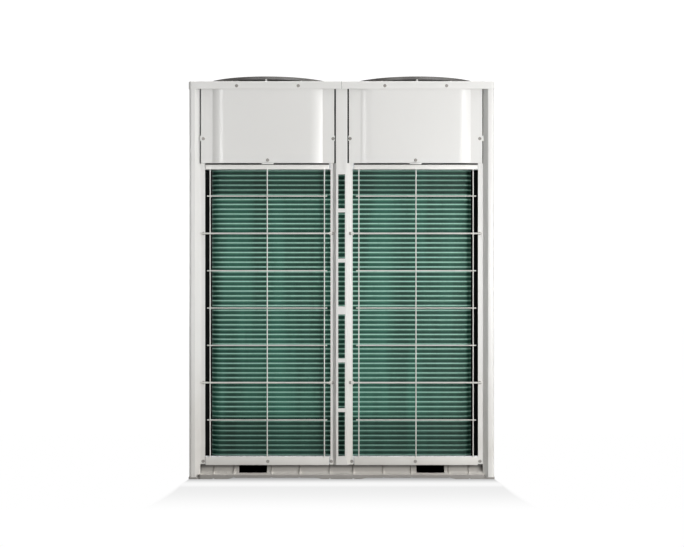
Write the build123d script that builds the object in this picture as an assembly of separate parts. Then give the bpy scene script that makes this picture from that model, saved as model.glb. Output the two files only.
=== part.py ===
from build123d import *
from itertools import cycle
import math
import os

# Twin-fan variable refrigerant flow outdoor unit, in millimetres.
# The floor is z = 0, the photographed face looks along -Y, and the unit is centred on X and Y.

# Cabinet, measured over the corner posts. Its height comes from the storeys below.
cabinet_width = 1289.0
cabinet_depth = 759.0

# Folded sheet of the cabinet.
sheet = 2.0
overcut = 1.0               # how far a cut runs out past the sheet that it trims
bend_radius = 2.6           # outside radius of an ordinary bend
seat = 0.3                  # gap left where two sheets or a sheet and a block only seat

# Corner posts: a flat face each way from the rounded corner, a slant inwards and a screw flange.
post_face = 25.8
post_slant = 20.0           # reach of the slant, across and inwards
post_flange = 20.3
post_corner_radius = 12.0

# Mullions between the two bays, front and rear.
mullion_face = 46.6
mullion_slant = 13.7
mullion_flange = 10.0
slot_width = 28.4
slot_heights = [187.4, 193.7, 186.2, 186.1, 195.0]
slot_bars = [15.6, 17.3, 33.8, 16.1, 16.9]
slot_margin = 42.4          # plain stretch of the mullion between its last slot and the storey's top
joint_recess_width = 20.0
joint_recess_height = 67.0
joint_recess_drop = 25.0    # how far the recess at the joint starts below the storey's top
joint_recess_depth = 1.2
foot_clip_width = 22.0
foot_clip_height = 27.0

# Storeys: coil guards or service panels below, plain raised panels above.
storey_clearance = 1.0      # gap between the base and the lower storey
guard_height = 1268.0
storey_gap = 5.7            # dark line between a guard or service panel and the panel above it
panel_height = 343.3
panel_flange = 49.0
pad_rise = 9.0
pad_flank = 42.0
pad_setback = 0.5           # raised pad behind the face of the corner posts
panel_post_gap = 2.2
panel_mullion_gap = 5.2
panel_tab_height = 22.0
panel_tab_rise = 94.3       # side tabs of an upper panel, above its lower edge
panel_foot_tab = 50.0

# Coil guards: two folded bars joined by welded wires.
guard_gap = 4.2
guard_top_bar = 20.5
guard_foot_bar = 33.7
guard_bar_depth = 6.0
guard_bar_bevel = 3.0
wire_size = 5.0
strong_wire_size = 7.0      # second wire from the foot and from the top
weld_depth = 0.5            # how far crossing wires sink into each other
wire_pitch = 157.5
first_wire_rise = 190.2
wire_end_gap = 8.0
upright_inset = 20.6
wire_tab_reach = 17.0
mullion_tab_reach = 8.5
wire_tab_height = 14.0
wire_tab_thickness = 4.0

# Base: pressed rails with a raised lip, feet, gussets and fork slots, under a shallow pan.
base_overhang = 1.5
base_sheet = 3.5
base_height = 60.0
base_wall_setback = 44.0
base_flange = 28.0
lip_lift = 6.5
corner_foot = 160.0         # flat length of a corner foot, from the end of the rail
centre_foot = 162.0
foot_ramp = 22.0
foot_chamfer = 2.4
fork_slot_width = 118.0
fork_slot_inset = 270.2     # centre of a fork slot, from the end of the rail
fork_slot_floor = 29.0
gusset_width = 8.0
gusset_height = 40.0
gusset_nose = 3.0
gusset_notch = 2.2
foot_gusset = 49.7          # gusset of the centre foot, from the middle of the rail
fork_gusset_margin = 21.0   # gussets either side of a fork slot, from its edges
lip_gusset_step = 118.4     # next gusset towards the middle
end_gusset_inset = 105.0
side_gusset_pitch = 150.0
side_gusset_margin = 21.0   # last gusset of a side rail, at least this far from its end
anchor_inset = 146.0        # anchor slots, from the end of the rail
anchor_setback = 22.0       # and from the post faces
anchor_slot_width = 14.0
anchor_slot_length = 24.0
pan_sheet = 2.5
pan_rim = 32.0

# Beams round the cabinet between the two storeys.
beam_shelf = 30.0

# Coil: U shaped, round the front and both sides, sealed to the posts.
coil_setback = 70.0
coil_depth = 44.0
coil_bend = 62.0
coil_lap = 21.0             # how far the coil reaches up behind the beams
coil_rear_gap = 44.5
end_plate = 3.0
seal_sheet = 3.0

# Covers, one over each bay.
cover_overhang = 3.0
cover_skirt = 33.0
cover_corner_radius = 15.0
cover_edge = 3.0            # bevel along the top edges
cover_seam = 1.0

# Fans, one under the middle of each cover.
fan_inset = 33.0            # blade tips inside the rim of the fan guard
fan_drop = 110.0            # hub's underside below the top of the cover
hub_radius = 78.0
hub_height = 86.0
hub_dome = 12.0
blade_count = 4
blade_sheet = 4.0
blade_flats = 3             # flats that make up the camber of a blade
hub_sides = 24              # flats round a hub and a motor
root_chord = 130.0
middle_chord = 185.0
tip_chord = 205.0
root_pitch = 36.0
middle_pitch = 27.0
tip_pitch = 20.0
blade_camber = 16.0
middle_sweep = 16.0
tip_sweep = 52.0
blade_level = 44.0          # middle of the blades above the hub's underside

# Bell mouths in the covers.
bell_sides = 36             # flats round a bell mouth, its hole and the rim of a fan guard
tip_clearance = 8.0
bell_sheet = 2.5
bell_flare = 28.0
bell_drop = 76.0
bell_hole_clearance = 3.0

# Fan guards: rings on radial ribs, with a rim band carried on legs.
guard_margin = 18.7         # rim of a fan guard inside the edge of its cover
guard_rise = 33.0           # top of the fan guard above the cover
rim_height = 13.0
rim_sheet = 3.0
rib_count = 12
rib_width = 4.0
rib_height = 5.0
ring_bar = 3.0
ring_count = 4
ring_sides = 24
hub_plate_radius = 42.0
leg_depth = 4.0
leg_width = 8.0
leg_clearance = 1.0         # legs outside the flange of the bell mouth

# Fan motors and the rails that carry them.
motor_radius = 76.0
motor_height = 100.0
motor_edge = 8.0
motor_clearance = 21.0      # top of the motor below the hub
shaft_radius = 9.0
shaft_sides = 12
rail_spread = 95.0
rail_width = 30.0
rail_height = 40.0
rail_sheet = 2.5
strap_width = 44.0
strap_spread = 52.0
strap_sheet = 4.0

# Worked out from the sizes above.
half_width = cabinet_width / 2
half_depth = cabinet_depth / 2
carrier_face = post_slant                        # screw flanges, measured in from the post faces
carrier_back = post_slant + sheet
mullion_half = mullion_face / 2 + mullion_slant + mullion_flange
storey_floor = base_height + storey_clearance
storey_top = storey_floor + guard_height
panel_floor = storey_top + storey_gap
frame_height = panel_floor + panel_height        # tops of posts and panels, undersides of the covers
cover_top = frame_height + sheet
pan_floor = base_height + pan_sheet
rail_end = half_width + base_overhang
coil_side = half_width - coil_setback            # outer face of the coil's side runs
fan_offset = (half_width + cover_overhang) / 2
guard_radius = min(fan_offset, half_depth + cover_overhang) - guard_margin
leg_inner = guard_radius - rim_sheet - leg_depth
fan_radius = guard_radius - fan_inset
throat_radius = fan_radius + tip_clearance
fan_hub_floor = cover_top - fan_drop
strap_top = fan_hub_floor - motor_clearance - motor_height
beam_top = strap_top - strap_sheet - rail_height
beam_floor = storey_top - guard_top_bar + seat
coil_top = beam_floor + coil_lap

# Each face of the cabinet: where its middle is, and its turn about the vertical.
# On a face, x runs to the right, y runs inwards from the post faces, and z is up.
FACES = {
    "front": (0, -half_depth, 0),
    "right": (half_width, 0, 90),
    "rear": (0, half_depth, 180),
    "left": (-half_width, 0, -90),
}
CORNERS = {
    "front_left": (-half_width, -half_depth, 0),
    "front_right": (half_width, -half_depth, 90),
    "rear_right": (half_width, half_depth, 180),
    "rear_left": (-half_width, half_depth, -90),
}


def on_face(side, shape):
    """Move a shape made in face coordinates to one of the four faces."""
    x, y, turn = FACES[side]
    return Location((x, y, 0), (0, 0, turn)) * shape


def at_corner(corner, shape):
    """Move a shape made at the front left corner to one of the four corners."""
    x, y, turn = CORNERS[corner]
    return Location((x, y, 0), (0, 0, turn)) * shape


def handed(name, shape):
    """The shape itself on the right, and its mirror image on the left."""
    return mirror(shape, about=Plane.YZ) if name == "left" else shape


def block(x0, x1, y0, y1, z0, z1):
    """A plain block between two corners."""
    solid = Box(x1 - x0, y1 - y0, z1 - z0)
    return Pos((x0 + x1) / 2, (y0 + y1) / 2, (z0 + z1) / 2) * solid


def upright(outline, floor, top):
    """A plan outline drawn up from one height to another."""
    return Pos(0, 0, floor) * extrude(make_face(outline), top - floor)


def folded(points, radii, thickness, side):
    """Plan outline of a folded sheet: its outer line with bends, thickened to one side."""
    return FilletPolyline(*points, radius=radii).offset_2d(thickness, side=side)


def many_sided(stations, sides):
    """Upright solid round z in so many flats, through radii and heights from the bottom up."""
    return loft([Pos(0, 0, z) * RegularPolygon(radius, sides) for radius, z in stations], ruled=True)


# Base


def foot_line(half_length):
    """Underside of a rail in x and z: feet at both ends and the middle, and the lip raised between."""
    end = half_length
    inner = end - corner_foot
    middle = centre_foot / 2
    right = [
        (middle, 0),
        (middle + foot_ramp, lip_lift),
        (inner - foot_ramp, lip_lift),
        (inner, 0),
        (end, 0),
    ]
    left = [(-x, z) for x, z in reversed(right)]
    return left + right


def pressed_strip(points, height, y0, y1):
    """Sheet that follows an underside line, between two depths."""
    top = [(x, z + height) for x, z in reversed(points)]
    face = Plane.XZ * make_face(Polyline(*points, *top, close=True))
    return Pos(0, y1, 0) * extrude(face, y1 - y0)


def wall_over(points, y0, y1):
    """Upright wall of a rail, from the underside line up to the pan."""
    corners = [(points[-1][0], base_height), (points[0][0], base_height)]
    face = Plane.XZ * make_face(Polyline(*points, *corners, close=True))
    return Pos(0, y1, 0) * extrude(face, y1 - y0)


def gusset(x, foot_height):
    """Web across the bend between wall and lip, and the notch that it leaves under the lip."""
    lip_top = foot_height + base_sheet
    outer = -base_overhang
    inner = base_wall_setback
    web_outline = Polyline(
        (outer, lip_top),
        (outer, lip_top + gusset_nose),
        (inner, lip_top + gusset_height),
        (inner, lip_top),
        close=True,
    )
    web = Pos(x - gusset_width / 2, 0, 0) * extrude(Plane.YZ * make_face(web_outline), gusset_width)
    notch_outline = Polyline(
        (x - gusset_width / 2 - gusset_notch, foot_height),
        (x, foot_height + gusset_notch),
        (x + gusset_width / 2 + gusset_notch, foot_height),
        close=True,
    )
    notch = Pos(0, inner - gusset_width, 0) * extrude(
        Plane.XZ * make_face(notch_outline), inner - gusset_width - outer
    )
    return web, notch


def foot_height_at(x, half_length):
    """Height of the rail's underside at one place along it."""
    points = foot_line(half_length)
    for (x0, z0), (x1, z1) in zip(points, points[1:]):
        if x0 <= x <= x1:
            return z0 + (z1 - z0) * (x - x0) / (x1 - x0)
    return 0.0


def rail_gusset_places(fork_centre):
    """Distances of the gussets from the middle of a main rail."""
    fork_gusset = fork_slot_width / 2 + fork_gusset_margin
    return [
        foot_gusset,
        fork_centre - fork_gusset - lip_gusset_step,
        fork_centre - fork_gusset,
        fork_centre + fork_gusset,
        rail_end - end_gusset_inset,
    ]


def main_rail():
    """Front or rear rail of the base, in face coordinates."""
    line = foot_line(rail_end)
    wall_back = base_wall_setback + base_sheet
    rail = pressed_strip(line, base_sheet, -base_overhang, wall_back)
    floor_edges = rail.edges().filter_by(Axis.Y).group_by(Axis.Z)[0].sort_by(Axis.X)
    rail = chamfer([floor_edges[0], floor_edges[-1]], foot_chamfer)
    wall_end = half_width - base_wall_setback
    flange_end = wall_end - base_sheet
    keep = block(-wall_end, wall_end, 0, wall_back + base_flange, 0, base_height)
    added = [wall_over(line, base_wall_setback, wall_back) & keep]
    added.append(block(
        -flange_end, flange_end,
        base_wall_setback, wall_back + base_flange,
        base_height - base_sheet, base_height,
    ))
    cuts = []
    fork_centre = rail_end - fork_slot_inset
    for place in rail_gusset_places(fork_centre):
        for x in (-place, place):
            web, notch = gusset(x, foot_height_at(x, rail_end))
            added.append(web)
            cuts.append(notch)
    slot = extrude(SlotOverall(anchor_slot_length, anchor_slot_width), 2 * base_sheet)
    for hand in (-1, 1):
        x = hand * fork_centre
        cuts.append(block(
            x - fork_slot_width / 2, x + fork_slot_width / 2,
            base_wall_setback - base_sheet, wall_back + base_sheet,
            fork_slot_floor, base_height - base_sheet,
        ))
        cuts.append(Pos(hand * (rail_end - anchor_inset), anchor_setback, -base_sheet / 2) * slot)
    return rail + added - cuts


def side_rail():
    """Side rail of the base, in face coordinates, between the two main rails."""
    wall_back = base_wall_setback + base_sheet
    end = half_depth - wall_back
    line = [(-end, lip_lift), (end, lip_lift)]
    rail = pressed_strip(line, base_sheet, -base_overhang, wall_back)
    flange_end = end - base_flange
    added = [
        wall_over(line, base_wall_setback, wall_back),
        block(
            -flange_end, flange_end,
            base_wall_setback, wall_back + base_flange,
            base_height - base_sheet, base_height,
        ),
    ]
    cuts = []
    place = side_gusset_pitch / 2
    while place + side_gusset_margin < end:
        for x in (-place, place):
            web, notch = gusset(x, lip_lift)
            added.append(web)
            cuts.append(notch)
        place += side_gusset_pitch
    return rail + added - cuts


def base_pan():
    """Shallow pan with an upturned rim that carries the coil and the foot of each face."""
    x = half_width - carrier_back
    y = half_depth - carrier_back
    pan = block(-x, x, -y, y, base_height, pan_floor + pan_rim)
    hollow = block(
        -x + pan_sheet, x - pan_sheet,
        -y + pan_sheet, y - pan_sheet,
        pan_floor, pan_floor + 2 * pan_rim,
    )
    return pan - hollow


# Cabinet frame


def corner_post():
    """Folded corner post at the front left corner, with its flanges cut off at the foot."""
    slant_end = post_face + post_slant
    tip = slant_end + post_flange
    points = [
        (post_slant, tip),
        (post_slant, slant_end),
        (0, post_face),
        (0, 0),
        (post_face, 0),
        (slant_end, post_slant),
        (tip, post_slant),
    ]
    radii = [bend_radius, bend_radius, post_corner_radius, bend_radius, bend_radius]
    outline = folded(points, radii, sheet, Side.LEFT)
    post = upright(outline, base_sheet, frame_height)
    for turn in (0, 1):
        flange = block(slant_end, tip + overcut, 0, carrier_back + overcut, 0, storey_floor)
        if turn:
            flange = mirror(flange, about=Plane(origin=(0, 0, 0), z_dir=(1, -1, 0)))
        post -= flange
    return post


def mullion_body():
    """Folded mullion in face coordinates, plain."""
    face_half = mullion_face / 2
    slant_half = face_half + mullion_slant
    face_setback = carrier_face - mullion_slant
    right = [
        (face_half, face_setback),
        (slant_half, carrier_face),
        (mullion_half, carrier_face),
    ]
    left = [(-x, y) for x, y in reversed(right)]
    outline = folded(left + right, [bend_radius] * 4, sheet, Side.LEFT)
    return upright(outline, storey_floor - bend_radius, frame_height)


def front_mullion():
    """Mullion with six slots that show the coil, a recess at the joint and clips at its foot."""
    face_setback = carrier_face - mullion_slant
    recess_floor = storey_top - joint_recess_drop
    cuts = [block(
        -joint_recess_width / 2, joint_recess_width / 2,
        face_setback - sheet, face_setback + joint_recess_depth,
        recess_floor, recess_floor + joint_recess_height,
    )]
    level = storey_floor + guard_foot_bar
    last_level = storey_top - slot_margin
    for height, bar in cycle(zip(slot_heights, slot_bars)):
        if level + slot_width > last_level:
            break
        cuts.append(block(
            -slot_width / 2, slot_width / 2,
            face_setback - sheet, face_setback + 2 * sheet,
            level, min(level + height, last_level),
        ))
        level += height + bar
    clips = []
    for side in (-1, 1):
        outer = side * (mullion_half + guard_gap / 2)
        inner = outer - side * foot_clip_width
        clips.append(block(
            min(outer, inner), max(outer, inner),
            carrier_face - sheet, carrier_face + sheet / 2,
            storey_floor - bend_radius, storey_floor - bend_radius + foot_clip_height,
        ))
    return mullion_body() - cuts + clips


def beam(half_length, web_half, ledge):
    """Folded beam behind a face: a web, a ledge below that reaches the coil, and a shelf above."""
    web = block(-web_half, web_half, carrier_back, carrier_back + sheet, beam_floor, beam_top)
    foot = block(-half_length, half_length, carrier_back, ledge, beam_floor, beam_floor + sheet)
    shelf = block(
        -half_length, half_length,
        carrier_back, carrier_back + beam_shelf,
        beam_top - sheet, beam_top,
    )
    return web + [foot, shelf]


# Panels and guards


def panel_outline(x0, x1, setback, closed_at=None):
    """Plan line of a panel: flat flanges, and between them a pad that rises in two arcs."""
    bend = (pad_flank ** 2 + pad_rise ** 2) / (2 * pad_rise)
    crease = math.asin(pad_flank / bend)
    half_arc = (bend * math.sin(crease / 2), bend * math.cos(crease / 2))
    pad_y = setback - pad_rise
    left = x0 + panel_flange
    right = x1 - panel_flange
    centre_y = pad_y + bend
    rise_left = ThreePointArc(
        (left, setback),
        (left + pad_flank - half_arc[0], centre_y - half_arc[1]),
        (left + pad_flank, pad_y),
    )
    rise_right = ThreePointArc(
        (right - pad_flank, pad_y),
        (right - pad_flank + half_arc[0], centre_y - half_arc[1]),
        (right, setback),
    )
    middle = Line(rise_left @ 1, rise_right @ 0)
    start = Line((x0, setback), rise_left @ 0)
    finish = Line(rise_right @ 1, (x1, setback))
    edges = [start, rise_left, middle, rise_right, finish]
    if closed_at is not None:
        back = Polyline((x1, setback), (x1, closed_at), (x0, closed_at), (x0, setback))
        edges.append(back)
    return edges


def panel(x0, x1, floor, top, foot_start):
    """Raised panel between two x places of a face, with returns at its post edges and its foot.

    The foot's return starts at foot_start. Where that is not the panel's own edge, the panel ends
    at a mullion there and has no return on that side.
    """
    flat = pad_setback + pad_rise
    front_faces = Wire(panel_outline(x0, x1, flat))
    skin = upright(front_faces.offset_2d(sheet, side=Side.LEFT), floor, top)
    foot = upright(panel_outline(x0, x1, flat, carrier_face), floor, floor + sheet)
    foot &= block(foot_start, x1, 0, carrier_face, floor, floor + sheet)
    solid = skin + foot + block(x1 - sheet, x1, flat, carrier_face, floor, top)
    if foot_start == x0:
        solid += block(x0, x0 + sheet, flat, carrier_face, floor, top)
    return solid


def bay_span():
    """Panel edges of the right hand bay of a front or rear face."""
    return mullion_face / 2 + panel_mullion_gap, half_width - post_face - post_slant - panel_post_gap


def bay_panel(floor, top):
    """Panel of the bay on the right of a face."""
    x0, x1 = bay_span()
    return panel(x0, x1, floor, top, mullion_half - mullion_flange + sheet)


def upper_bay_panel():
    """Upper panel of the bay on the right, with tabs over the gaps to the post and the guard."""
    x0, x1 = bay_span()
    flat = pad_setback + pad_rise
    middle = (x0 + x1) / 2
    tab_floor = panel_floor + panel_tab_rise
    post_tab = block(
        x1 - sheet, x1 + panel_post_gap + sheet,
        flat, flat + sheet,
        tab_floor, tab_floor + panel_tab_height,
    )
    foot_tab = block(
        middle - panel_foot_tab / 2, middle + panel_foot_tab / 2,
        pad_setback, pad_setback + sheet,
        panel_floor - storey_gap + seat, panel_floor + sheet,
    )
    return bay_panel(panel_floor, frame_height) + [post_tab, foot_tab]


def side_panel(floor, top):
    """Panel across the whole of a side face."""
    edge = half_depth - post_face - post_slant - panel_post_gap
    return panel(-edge, edge, floor, top, -edge)


def guard_bar(x0, x1, floor, top):
    """Folded bar of a coil guard, with bevelled front edges."""
    outline = Polyline(
        (carrier_back, floor),
        (carrier_back - guard_bar_depth + guard_bar_bevel, floor),
        (carrier_back - guard_bar_depth, floor + guard_bar_bevel),
        (carrier_back - guard_bar_depth, top - guard_bar_bevel),
        (carrier_back - guard_bar_depth + guard_bar_bevel, top),
        (carrier_back, top),
        close=True,
    )
    return Pos(x0, 0, 0) * extrude(Plane.YZ * make_face(outline), x1 - x0)


def wire(x0, x1, y, z, size):
    """Wire along x."""
    return block(x0, x1, y - size / 2, y + size / 2, z - size / 2, z + size / 2)


def coil_guard(x0, x1, left_reach, right_reach):
    """Wire guard in front of the coil; the strong wires reach on to tabs on the screw flanges."""
    upright_y = carrier_back - wire_size
    row_y = upright_y - wire_size + weld_depth
    bars_end = storey_top - guard_top_bar
    added = [guard_bar(x0, x1, bars_end, storey_top)]
    for x in (x0 + upright_inset, (x0 + x1) / 2, x1 - upright_inset):
        added.append(block(
            x - wire_size / 2, x + wire_size / 2,
            upright_y - wire_size / 2, upright_y + wire_size / 2,
            storey_floor + guard_foot_bar - guard_bar_bevel, bars_end + guard_bar_bevel,
        ))
    first_wire = storey_floor + first_wire_rise
    last_row = int((bars_end - first_wire) // wire_pitch)
    for row in range(last_row + 1):
        z = first_wire + row * wire_pitch
        if row in (1, last_row - 1):
            start = x0 - guard_gap - left_reach
            finish = x1 + guard_gap + right_reach
            added.append(wire(start, finish, row_y, z, strong_wire_size))
            for x, reach in ((start, left_reach), (finish - right_reach, right_reach)):
                added.append(block(
                    x, x + reach,
                    carrier_face - wire_tab_thickness, carrier_face,
                    z - wire_tab_height / 2, z + wire_tab_height / 2,
                ))
        else:
            added.append(wire(x0 + wire_end_gap, x1 - wire_end_gap, row_y, z, wire_size))
    return guard_bar(x0, x1, storey_floor, storey_floor + guard_foot_bar) + added


def bay_guard():
    """Coil guard of the bay on the right of the front face."""
    x0 = mullion_half + guard_gap
    x1 = half_width - post_face - post_slant - post_flange - guard_gap
    return coil_guard(x0, x1, mullion_tab_reach, wire_tab_reach)


def side_guard():
    """Coil guard across the whole of a side face."""
    edge = half_depth - post_face - post_slant - post_flange - guard_gap
    return coil_guard(-edge, edge, wire_tab_reach, wire_tab_reach)


# Coil and the sheets that seal it


def coil():
    """Fin and tube coil round the front and both sides."""
    front = -half_depth + coil_setback
    rear = half_depth - coil_rear_gap
    points = [(-coil_side, rear), (-coil_side, front), (coil_side, front), (coil_side, rear)]
    outline = folded(points, [coil_bend, coil_bend], coil_depth, Side.LEFT)
    return upright(outline, pan_floor, coil_top)


def coil_end_plate():
    """Tube sheet at the right rear end of the coil, wide enough to close the gap to the post."""
    rear = half_depth - coil_rear_gap
    inner = coil_side - coil_depth
    outer = half_width - carrier_back - pan_sheet - seat
    return block(inner, outer, rear, rear + end_plate, pan_floor, beam_floor)


def corner_seal():
    """Upright sheet on the diagonal of a front corner, from the pan's rim to the bend of the coil."""
    start = (carrier_back + pan_sheet + seat) * math.sqrt(2) + seal_sheet / 2
    finish = (coil_setback + coil_bend) * math.sqrt(2) - coil_bend - seat
    sheet_box = block(start, finish, -seal_sheet / 2, seal_sheet / 2, pan_floor, beam_floor)
    return Rot(0, 0, 45) * sheet_box


# Covers, bell mouths and fans


def top_cover():
    """Cover of the right bay, with a skirt on three sides and a short flange along the seam."""
    x0 = cover_seam / 2
    x1 = half_width + cover_overhang
    y1 = half_depth + cover_overhang
    floor = cover_top - cover_skirt
    outer = block(x0, x1, -y1, y1, floor, cover_top)
    rounded = outer.edges().filter_by(Axis.Z).group_by(Axis.X)[-1]
    outer = fillet(rounded, cover_corner_radius)
    rim = outer.faces().sort_by(Axis.Z)[-1].edges()
    outer = chamfer(rim.group_by(Axis.X)[-1] + rim.filter_by(Axis.X), cover_edge)
    inner = block(x0 + sheet, x1 - sheet, -y1 + sheet, y1 - sheet, floor, frame_height)
    inner = fillet(
        inner.edges().filter_by(Axis.Z).group_by(Axis.X)[-1],
        cover_corner_radius - sheet,
    )
    hole_radius = throat_radius + bell_sheet + bell_hole_clearance
    hole = many_sided([(hole_radius, frame_height - sheet), (hole_radius, cover_top + sheet)], bell_sides)
    cuts = [inner, Pos(fan_offset, 0, 0) * hole]
    seam_end = half_depth - carrier_back - cover_corner_radius
    for y in (-y1 + sheet, seam_end):
        cuts.append(block(x0 - sheet, x0 + sheet, y, y + y1 - sheet - seam_end, floor, frame_height))
    return outer - cuts


def bell_mouth():
    """Ring through the cover: a flange on top, the throat and an inlet flared in two slopes."""
    top = cover_top + bell_sheet
    floor = cover_top - bell_drop
    flange_radius = leg_inner - leg_clearance
    waist = bell_flare * (1 - math.sqrt(0.5))
    inlet = [
        (throat_radius + bell_flare, floor),
        (throat_radius + waist, floor + waist),
        (throat_radius, floor + bell_flare),
    ]
    around = [(radius + bell_sheet, z + bell_sheet) for radius, z in inlet]
    ring_wall = many_sided([inlet[0], *around, (throat_radius + bell_sheet, top)], bell_sides)
    flange = many_sided([(flange_radius, cover_top), (flange_radius, top)], bell_sides)
    return ring_wall + flange - many_sided([*inlet, (throat_radius, top)], bell_sides)


def blade_section(radius, chord, pitch, sweep):
    """Cambered section of a fan blade at one radius, on a plane that faces outwards."""
    stations = [2 * i / blade_flats - 1 for i in range(blade_flats + 1)]
    low = [(t * chord / 2, blade_camber * (1 - t ** 2) - blade_sheet / 2) for t in stations]
    high = [(x, y + blade_sheet) for x, y in reversed(low)]
    face = make_face(Polyline(*low, *high, close=True))
    plane = Plane(origin=(radius, 0, blade_level), x_dir=(0, 1, 0), z_dir=(1, 0, 0))
    return plane * Pos(sweep, 0) * Rot(0, 0, pitch) * face


def fan():
    """Hub with swept, twisted blades, turning about z with the hub's underside at z = 0."""
    root = hub_radius - 2 * blade_sheet
    beyond = fan_radius * 1.03
    middle = (root + beyond) / 2
    sections = [
        blade_section(root, root_chord, root_pitch, 0),
        blade_section(middle, middle_chord, middle_pitch, middle_sweep),
        blade_section(beyond, tip_chord, tip_pitch, tip_sweep),
    ]
    blade = loft(sections, ruled=True) & Cylinder(fan_radius, 4 * hub_height)
    shoulder = hub_height - hub_dome
    stations = [(hub_radius, 0), (hub_radius, shoulder), (hub_radius - hub_dome, hub_height)]
    hub = many_sided(stations, hub_sides)
    return hub + [Rot(0, 0, 360 / blade_count * i) * blade for i in range(blade_count)]


def ring(radius):
    """Plan of one ring of a fan guard, with its corners on the ribs."""
    return RegularPolygon(radius + ring_bar / 2, ring_sides) - RegularPolygon(radius - ring_bar / 2, ring_sides)


def fan_guard():
    """Round guard over a fan: rings on radial ribs, a rim band and a leg under each rib."""
    top = cover_top + guard_rise
    inner = guard_radius - rim_sheet
    ring_gap = (inner - hub_plate_radius) / (ring_count + 1)
    rib_end = inner + rim_sheet / 2
    rib = Pos((hub_plate_radius - rib_width + rib_end) / 2, 0) * Rectangle(
        rib_end - hub_plate_radius + rib_width, rib_width
    )
    leg = block(
        leg_inner, rib_end,
        -leg_width / 2, leg_width / 2,
        cover_top, top - rim_height / 2,
    )
    plan = [ring(hub_plate_radius + ring_gap * (i + 1)) for i in range(ring_count)]
    legs = []
    for i in range(rib_count):
        turn = Rot(0, 0, 360 / rib_count * i)
        plan.append(turn * rib)
        legs.append(turn * leg)
    grille = extrude(RegularPolygon(hub_plate_radius, ring_sides) + plan, rib_height)
    band = RegularPolygon(guard_radius, bell_sides) - RegularPolygon(inner, bell_sides)
    rim = extrude(band, rim_height)
    return Pos(0, 0, top - rim_height) * rim + [Pos(0, 0, top - rim_sheet - rib_height) * grille] + legs


def fan_motor():
    """Motor on the straps of its bracket, with a shaft up to the fan's hub."""
    top = strap_top + motor_height
    body = many_sided([
        (motor_radius - motor_edge, strap_top),
        (motor_radius, strap_top + motor_edge),
        (motor_radius, top - motor_edge),
        (motor_radius - motor_edge, top),
    ], hub_sides)
    return body + many_sided([(shaft_radius, top), (shaft_radius, fan_hub_floor)], shaft_sides)


def motor_bracket():
    """Two channel rails from the front beam to the rear beam, with two straps under the motor."""
    reach = half_depth - carrier_back - sheet - seat
    half_rail = rail_width / 2
    channel = block(-half_rail, half_rail, -reach, reach, beam_top, beam_top + rail_height)
    channel -= block(
        -half_rail + rail_sheet, half_rail - rail_sheet,
        -reach, reach,
        beam_top, beam_top + rail_height - rail_sheet,
    )
    strap_half = rail_spread + half_rail
    straps = []
    for y in (-strap_spread, strap_spread):
        straps.append(block(
            -strap_half, strap_half,
            y - strap_width / 2, y + strap_width / 2,
            strap_top - strap_sheet, strap_top,
        ))
    return Pos(-rail_spread, 0, 0) * channel + [Pos(rail_spread, 0, 0) * channel] + straps


def base_parts():
    """Pan and rails of the base."""
    rail = main_rail()
    side = side_rail()
    return {
        "base_pan": base_pan(),
        "base_rail_front": on_face("front", rail),
        "base_rail_rear": on_face("rear", rail),
        "base_rail_left": on_face("left", side),
        "base_rail_right": on_face("right", side),
    }


def frame_parts():
    """Posts, mullions and the beams between the storeys."""
    post = corner_post()
    parts = {f"post_{corner}": at_corner(corner, post) for corner in CORNERS}
    parts["mullion_front"] = on_face("front", front_mullion())
    parts["mullion_rear"] = on_face("rear", mullion_body())
    web_inset = post_face + post_slant + panel_post_gap
    front_web = half_width - web_inset
    ledge = coil_setback - seat
    side = beam(half_depth - ledge, half_depth - web_inset, ledge)
    parts["beam_front"] = on_face("front", beam(front_web, front_web, ledge))
    parts["beam_rear"] = on_face("rear", beam(front_web, front_web, coil_rear_gap - seat))
    parts["beam_left"] = on_face("left", side)
    parts["beam_right"] = on_face("right", side)
    return parts


def face_parts():
    """Panels and coil guards. Seen from the rear, left and right change places."""
    guard = bay_guard()
    wide_guard = side_guard()
    upper = upper_bay_panel()
    upper_side = side_panel(panel_floor, frame_height)
    service = bay_panel(storey_floor, storey_top)
    parts = {}
    for name, opposite in (("left", "right"), ("right", "left")):
        parts[f"upper_panel_front_{name}"] = on_face("front", handed(name, upper))
        parts[f"upper_panel_rear_{name}"] = on_face("rear", handed(opposite, upper))
        parts[f"service_panel_{name}"] = on_face("rear", handed(opposite, service))
        parts[f"upper_panel_{name}"] = on_face(name, upper_side)
        parts[f"coil_guard_front_{name}"] = on_face("front", handed(name, guard))
        parts[f"coil_guard_{name}"] = on_face(name, wide_guard)
    return parts


def coil_parts():
    """The coil and what closes its ends and corners."""
    plate = coil_end_plate()
    seal = corner_seal()
    parts = {"coil": coil()}
    for name in ("left", "right"):
        parts[f"coil_end_plate_{name}"] = handed(name, plate)
        parts[f"corner_seal_{name}"] = at_corner(f"front_{name}", seal)
    return parts


def fan_parts():
    """Covers and, in the middle of each, a fan with its bell mouth, guard, motor and bracket."""
    cover = top_cover()
    assembly = {
        "bell_mouth": bell_mouth(),
        "fan_guard": fan_guard(),
        "fan": Pos(0, 0, fan_hub_floor) * fan(),
        "fan_motor": fan_motor(),
        "motor_bracket": motor_bracket(),
    }
    parts = {}
    for name, centre in (("left", -fan_offset), ("right", fan_offset)):
        parts[f"top_cover_{name}"] = handed(name, cover)
        for piece, shape in assembly.items():
            parts[f"{piece}_{name}"] = Pos(centre, 0, 0) * shape
    return parts


def make_parts():
    """Every named piece of the unit, at its place."""
    return base_parts() | frame_parts() | face_parts() | coil_parts() | fan_parts()


os.makedirs("parts", exist_ok=True)
for node, shape in make_parts().items():
    export_step(shape, f"parts/{node}.step")
    print(node, round(shape.volume))
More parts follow.
